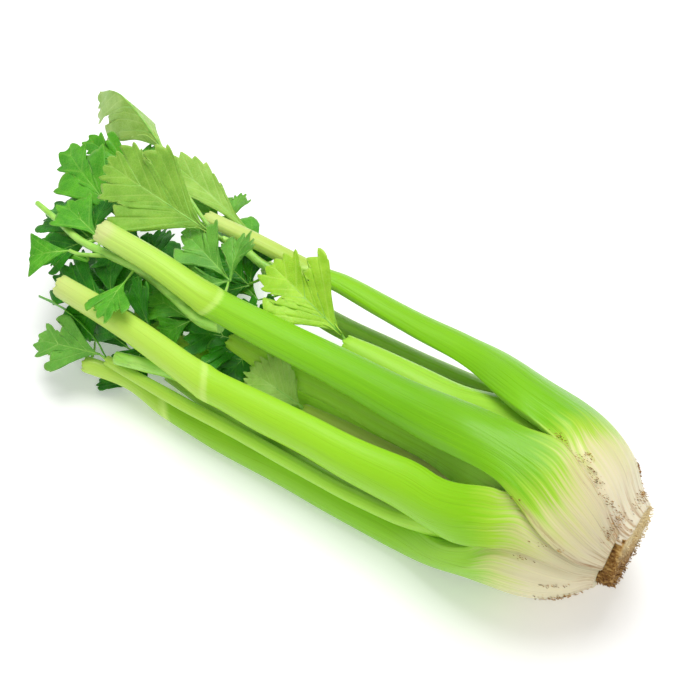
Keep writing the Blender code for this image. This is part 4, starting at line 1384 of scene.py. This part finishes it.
def plate_material():
    material, tree, shader = new_material("root_plate_fibre", 0.8, Specular_IOR_Level=0.25)
    spot = add(tree, "ShaderNodeTexCoord").outputs["Object"]
    fibre_at = add(tree, "ShaderNodeVectorMath", {0: spot, 1: (260.0, 620.0, 620.0)},
                   operation="MULTIPLY").outputs[0]
    fibre = noise(tree, fibre_at, 1.0, 4.0, 0.65)
    patch = noise(tree, spot, 170.0, 3.0, 0.6)
    centred = add(tree, "ShaderNodeVectorMath", {0: spot, 1: place((188, *PLATE_MIDDLE))},
                  operation="SUBTRACT").outputs[0]
    parts = add(tree, "ShaderNodeSeparateXYZ", {0: centred})
    out = calc(tree, "SQRT", calc(tree, "ADD", calc(tree, "POWER", parts.outputs[1], 2.0),
                                  calc(tree, "POWER", parts.outputs[2], 2.0)))
    shade = ramp(tree, fibre, [(0.32, colour(88, 54, 20)), (0.48, colour(146, 104, 48)),
                               (0.60, colour(192, 154, 88)), (0.74, colour(224, 200, 140))])
    shade = mix(tree, fade(tree, patch, 0.50, 0.68, 0.0, 0.7), shade, colour(120, 78, 34),
                "MULTIPLY")
    face = fade(tree, parts.outputs[0], -0.0016, -0.0002)
    rings = noise(tree, vector(tree, calc(tree, "MULTIPLY", out, 900.0), 0.0, 0.0), 1.0, 2.0)
    cut = mix(tree, fade(tree, out, 0.004, 0.017), colour(190, 160, 104), colour(226, 208, 160))
    cut = mix(tree, fade(tree, rings, 0.5, 0.7, 0.0, 0.4), cut, colour(170, 130, 76))
    cut = mix(tree, fade(tree, patch, 0.52, 0.70, 0.0, 0.5), cut, colour(150, 112, 60))
    upward = calc(tree, "ADD", parts.outputs[1], parts.outputs[2])
    face = calc(tree, "MULTIPLY", face, fade(tree, calc(tree, "ADD", upward, calc(
        tree, "MULTIPLY", patch, 0.016)), -0.004, 0.016))
    tree.links.new(mix(tree, face, shade, cut), shader.inputs["Base Color"])
    bump = add(tree, "ShaderNodeBump", {"Strength": 0.8, "Distance": 0.0008, "Height": fibre})
    tree.links.new(bump.outputs[0], shader.inputs["Normal"])
    return material


plate_mesh = make_plate()
PLATE_SKIN = plate_material()
plate_mesh.materials.append(PLATE_SKIN)
print("plate:", len(plate_mesh.polygons), "faces")

# %% [markdown]
# ## Fibres and soil, scattered by Geometry Nodes
#
# Torn root fibres stand out all over the rim, and crumbs of soil cling where the sheaths
# meet.  Both are one small shape strewn over a surface, so one tree does both: it throws
# points on the faces in proportion to a density kept on them, sets the small shape on each,
# turned along the head or nearly so, and shrinks some.  A particle system could do this, but
# it needs more settings, and nodes leave a plain mesh.  The shapes have few faces each.

# %% The scatter tree
def make_scatter_tree():
    tree, given = new_tree("scattered bits", {
        "Per square metre": ("Float", 1e5), "Length": ("Float", 0.003),
        "Thickness": ("Float", 0.0002), "Tilt": ("Float", 0.4), "Seed": ("Int", 1),
        "Material": ("Material", None)})
    points = add(tree, "GeometryNodeDistributePointsOnFaces",
                 {"Mesh": given["Geometry"], "Seed": given["Seed"],
                  "Density": calc(tree, "MULTIPLY", given["Per square metre"],
                                  named(tree, "density"))})
    bit = add(tree, "GeometryNodeMeshCone",
              {"Vertices": 5, "Side Segments": 2, "Radius Top": given["Thickness"],
               "Radius Bottom": calc(tree, "MULTIPLY", given["Thickness"], 0.4),
               "Depth": given["Length"]})
    spread_by = add(tree, "FunctionNodeRandomValue", {0: (-1, -1, -1), 1: (1, 1, 1),
                                                      "Seed": given["Seed"]},
                    data_type="FLOAT_VECTOR").outputs[0]
    tilt = add(tree, "ShaderNodeVectorMath", {0: spread_by, "Scale": given["Tilt"]},
               operation="SCALE").outputs[0]
    way = add(tree, "ShaderNodeVectorMath", {0: tilt, 1: (1.0, 0.0, 0.0)},
              operation="ADD").outputs[0]
    turn = add(tree, "FunctionNodeAlignRotationToVector", {"Vector": way}, axis="Z")
    size = add(tree, "FunctionNodeRandomValue", {"Min": 0.35, "Max": 1.3,
                                                 "Seed": calc(tree, "ADD", given["Seed"], 7)},
               data_type="FLOAT")
    size_out = [s for s in size.outputs if s.enabled][0]
    placed = add(tree, "GeometryNodeInstanceOnPoints",
                 {"Points": points.outputs[0], "Instance": bit.outputs[0],
                  "Rotation": turn.outputs[0], "Scale": size_out})
    end_tree(tree, placed.outputs[0], given["Material"])
    return tree


SCATTER_TREE = make_scatter_tree()
strand_mesh = grow(plate_mesh.copy(), SCATTER_TREE, Per_square_metre=9.0e5, Length=0.0018,
                   Thickness=0.00024, Tilt=0.9, Seed=3, Material=PLATE_SKIN)
print("fibres:", len(strand_mesh.polygons), "faces")

# %% Where the soil lies
SOIL_SPOTS = [  # x, angle, reach along x, reach in degrees, amount
    (141, 88, 3.5, 2, 1.0), (150, 92, 5, 1.2, 0.5), (160, 94, 5, 1.6, 1.0), (165, 97, 3, 2, 0.8),
    (157, 88, 3, 3, 0.4), (173, 103, 5, 2.5, 0.6), (175, 34, 3, 5, 0.8), (180, 108, 2.5, 6, 0.8),
    (179, 124, 2, 8, 0.5), (166, 179, 5, 1.6, 0.7), (150, 159, 5, 1.5, 0.4),
    (138, 130, 3, 1.2, 0.5), (160, 147, 7, 1.2, 0.3), (183, 60, 2, 25, 0.5), (170, 205, 8, 8, 0.4),
    (172, 300, 7, 20, 0.5), (160, 345, 8, 5, 0.5)]


SOIL_HEIGHT = 1.006      # size of the skin that carries the soil, as a share of the bulb's
BED_STEPS = 12


def make_soil_bed():
    """Thin skin just over the bulb, its density highest where soil has lodged."""
    mesh = bmesh.new()
    density = mesh.faces.layers.float.new("density")
    for x0, angle0, along, round_by, most in SOIL_SPOTS:
        grid = []
        for i in range(BED_STEPS + 1):
            x = x0 + along * (i - 6) / 3
            half_width, half_height, middle, sideways = smooth_row(BASE_ENVELOPE, min(x, 188))
            row = []
            for j in range(BED_STEPS + 1):
                turn = math.radians(angle0 + round_by * (j - 6) / 3)
                row.append(mesh.verts.new(place((
                    x, sideways + SOIL_HEIGHT * half_width * math.cos(turn),
                    middle + SOIL_HEIGHT * half_height * math.sin(turn)))))
            grid.append(row)
        for i in range(BED_STEPS):
            for j in range(BED_STEPS):
                face = mesh.faces.new((grid[i][j], grid[i + 1][j], grid[i + 1][j + 1],
                                       grid[i][j + 1]))
                away = ((i - 5.5) / 3) ** 2 + ((j - 5.5) / 3) ** 2
                face[density] = most * math.exp(-away * 1.4)
    data = bpy.data.meshes.new("soil bed")
    mesh.to_mesh(data)
    mesh.free()
    return data


def soil_material():
    material, tree, shader = new_material("soil", 0.9, Specular_IOR_Level=0.2)
    spot = add(tree, "ShaderNodeTexCoord").outputs["Object"]
    patch = noise(tree, spot, 500.0, 3.0)
    tree.links.new(ramp(tree, patch, [(0.3, colour(74, 44, 14)), (0.5, colour(140, 94, 36)),
                                      (0.65, colour(196, 152, 80))]), shader.inputs["Base Color"])
    return material


soil_mesh = grow(make_soil_bed(), SCATTER_TREE, Per_square_metre=2.6e6, Length=0.0009,
                 Thickness=0.00016, Tilt=0.35, Seed=11, Material=soil_material())
print("soil:", len(soil_mesh.polygons), "faces")

# %% Join the plate, its fibres and the soil
def joined(name, meshes):
    """One mesh from several, each keeping its own material."""
    whole = bmesh.new()
    done = 0
    for number, mesh in enumerate(meshes):
        whole.from_mesh(mesh)
        whole.faces.ensure_lookup_table()
        for face in whole.faces[done:]:
            face.material_index = number
        done = len(whole.faces)
    result = bpy.data.meshes.new(name)
    whole.to_mesh(result)
    whole.free()
    for mesh in meshes:
        result.materials.append(mesh.materials[-1])
    return result


crown_mesh = joined("crown_plate", [plate_mesh, strand_mesh, soil_mesh])
new_piece("crown_plate", crown_mesh, "root_plate", "crown")
print("crown plate, fibres and soil:", len(crown_mesh.polygons), "faces")

# %% [markdown]
# ## Floor, light and camera
#
# The bunch lies on a plain white surface that runs out of view in every direction.  A wide
# soft light overhead and a bright, even world give the shadow its faint soft edge, and the
# camera looks down on the bunch from its root end.

# %% Floor
FLOOR_SIZE = 6.0


def make_floor():
    mesh = bmesh.new()
    bmesh.ops.create_grid(mesh, x_segments=1, y_segments=1, size=FLOOR_SIZE / 2)
    data = bpy.data.meshes.new("floor")
    mesh.to_mesh(data)
    mesh.free()
    material, tree, shader = new_material("white_paper", 0.85, Specular_IOR_Level=0.1,
                                          Emission_Color=(1, 1, 1, 1), Emission_Strength=0.2)
    spot = add(tree, "ShaderNodeTexCoord").outputs["Object"]
    grain = noise(tree, spot, 60.0, 3.0)
    tree.links.new(mix(tree, grain, colour(249, 249, 248), colour(252, 252, 252)),
                   shader.inputs["Base Color"])
    data.materials.append(material)
    item = bpy.data.objects.new("floor", data)
    bpy.context.collection.objects.link(item)


make_floor()
print("floor is", FLOOR_SIZE, "metres square")

# %% Light
def make_light(name, at, target, size, power):
    data = bpy.data.lights.new(name, "AREA")
    data.shape = "DISK"
    data.size, data.energy = size, power
    item = bpy.data.objects.new(name, data)
    item.location = at
    item.rotation_euler = (Vector(target) - Vector(at)).to_track_quat("-Z", "Y").to_euler()
    bpy.context.collection.objects.link(item)


LAMPS = {  # offset from the bunch, size in metres, power in watts
    "overhead": ((-0.15, 0.25, 1.3), 1.0, 13.0), "near_fill": ((0.9, -0.9, 0.9), 0.7, 3.0)}
ROOM_BRIGHTNESS = 0.50
bunch = place((0, 15, 45))
for name, (offset, size, power) in LAMPS.items():
    make_light(name, bunch + Vector(offset), bunch, size, power)
world = bpy.data.worlds.new("bright_room")
world.use_nodes = True
world.node_tree.nodes["Background"].inputs["Color"].default_value = (1, 1, 1, 1)
world.node_tree.nodes["Background"].inputs["Strength"].default_value = ROOM_BRIGHTNESS
bpy.context.scene.world = world
bpy.context.scene.view_settings.view_transform = "Standard"
print("two lamps and a bright room")

# %% [markdown]
# ## The camera
#
# The camera could be placed by hand, but three things settle it: the direction it looks from,
# the point it looks at and how far off it stands.  A longish lens keeps the bunch's
# proportions calm, as a tabletop view of food usually does.

# %% Camera
AZIMUTH, ELEVATION = math.radians(33.637), math.radians(48.0)
DISTANCE = 0.6311
AIM = place((3.99, 32.937, 45.0))
back = Vector((math.sin(AZIMUTH) * math.cos(ELEVATION), -math.cos(AZIMUTH) * math.cos(ELEVATION),
               math.sin(ELEVATION)))
camera = bpy.data.objects.new("camera", bpy.data.cameras.new("camera"))
camera.data.lens, camera.data.sensor_width = 60.0, 36.0
camera.data.clip_start, camera.data.clip_end = 0.01, 20.0
camera.location = AIM + back * DISTANCE
camera.rotation_euler = (-back).to_track_quat("-Z", "Y").to_euler()
bpy.context.collection.objects.link(camera)
bpy.context.scene.camera = camera
print("camera", round(DISTANCE, 3), "m from the middle of the bunch")
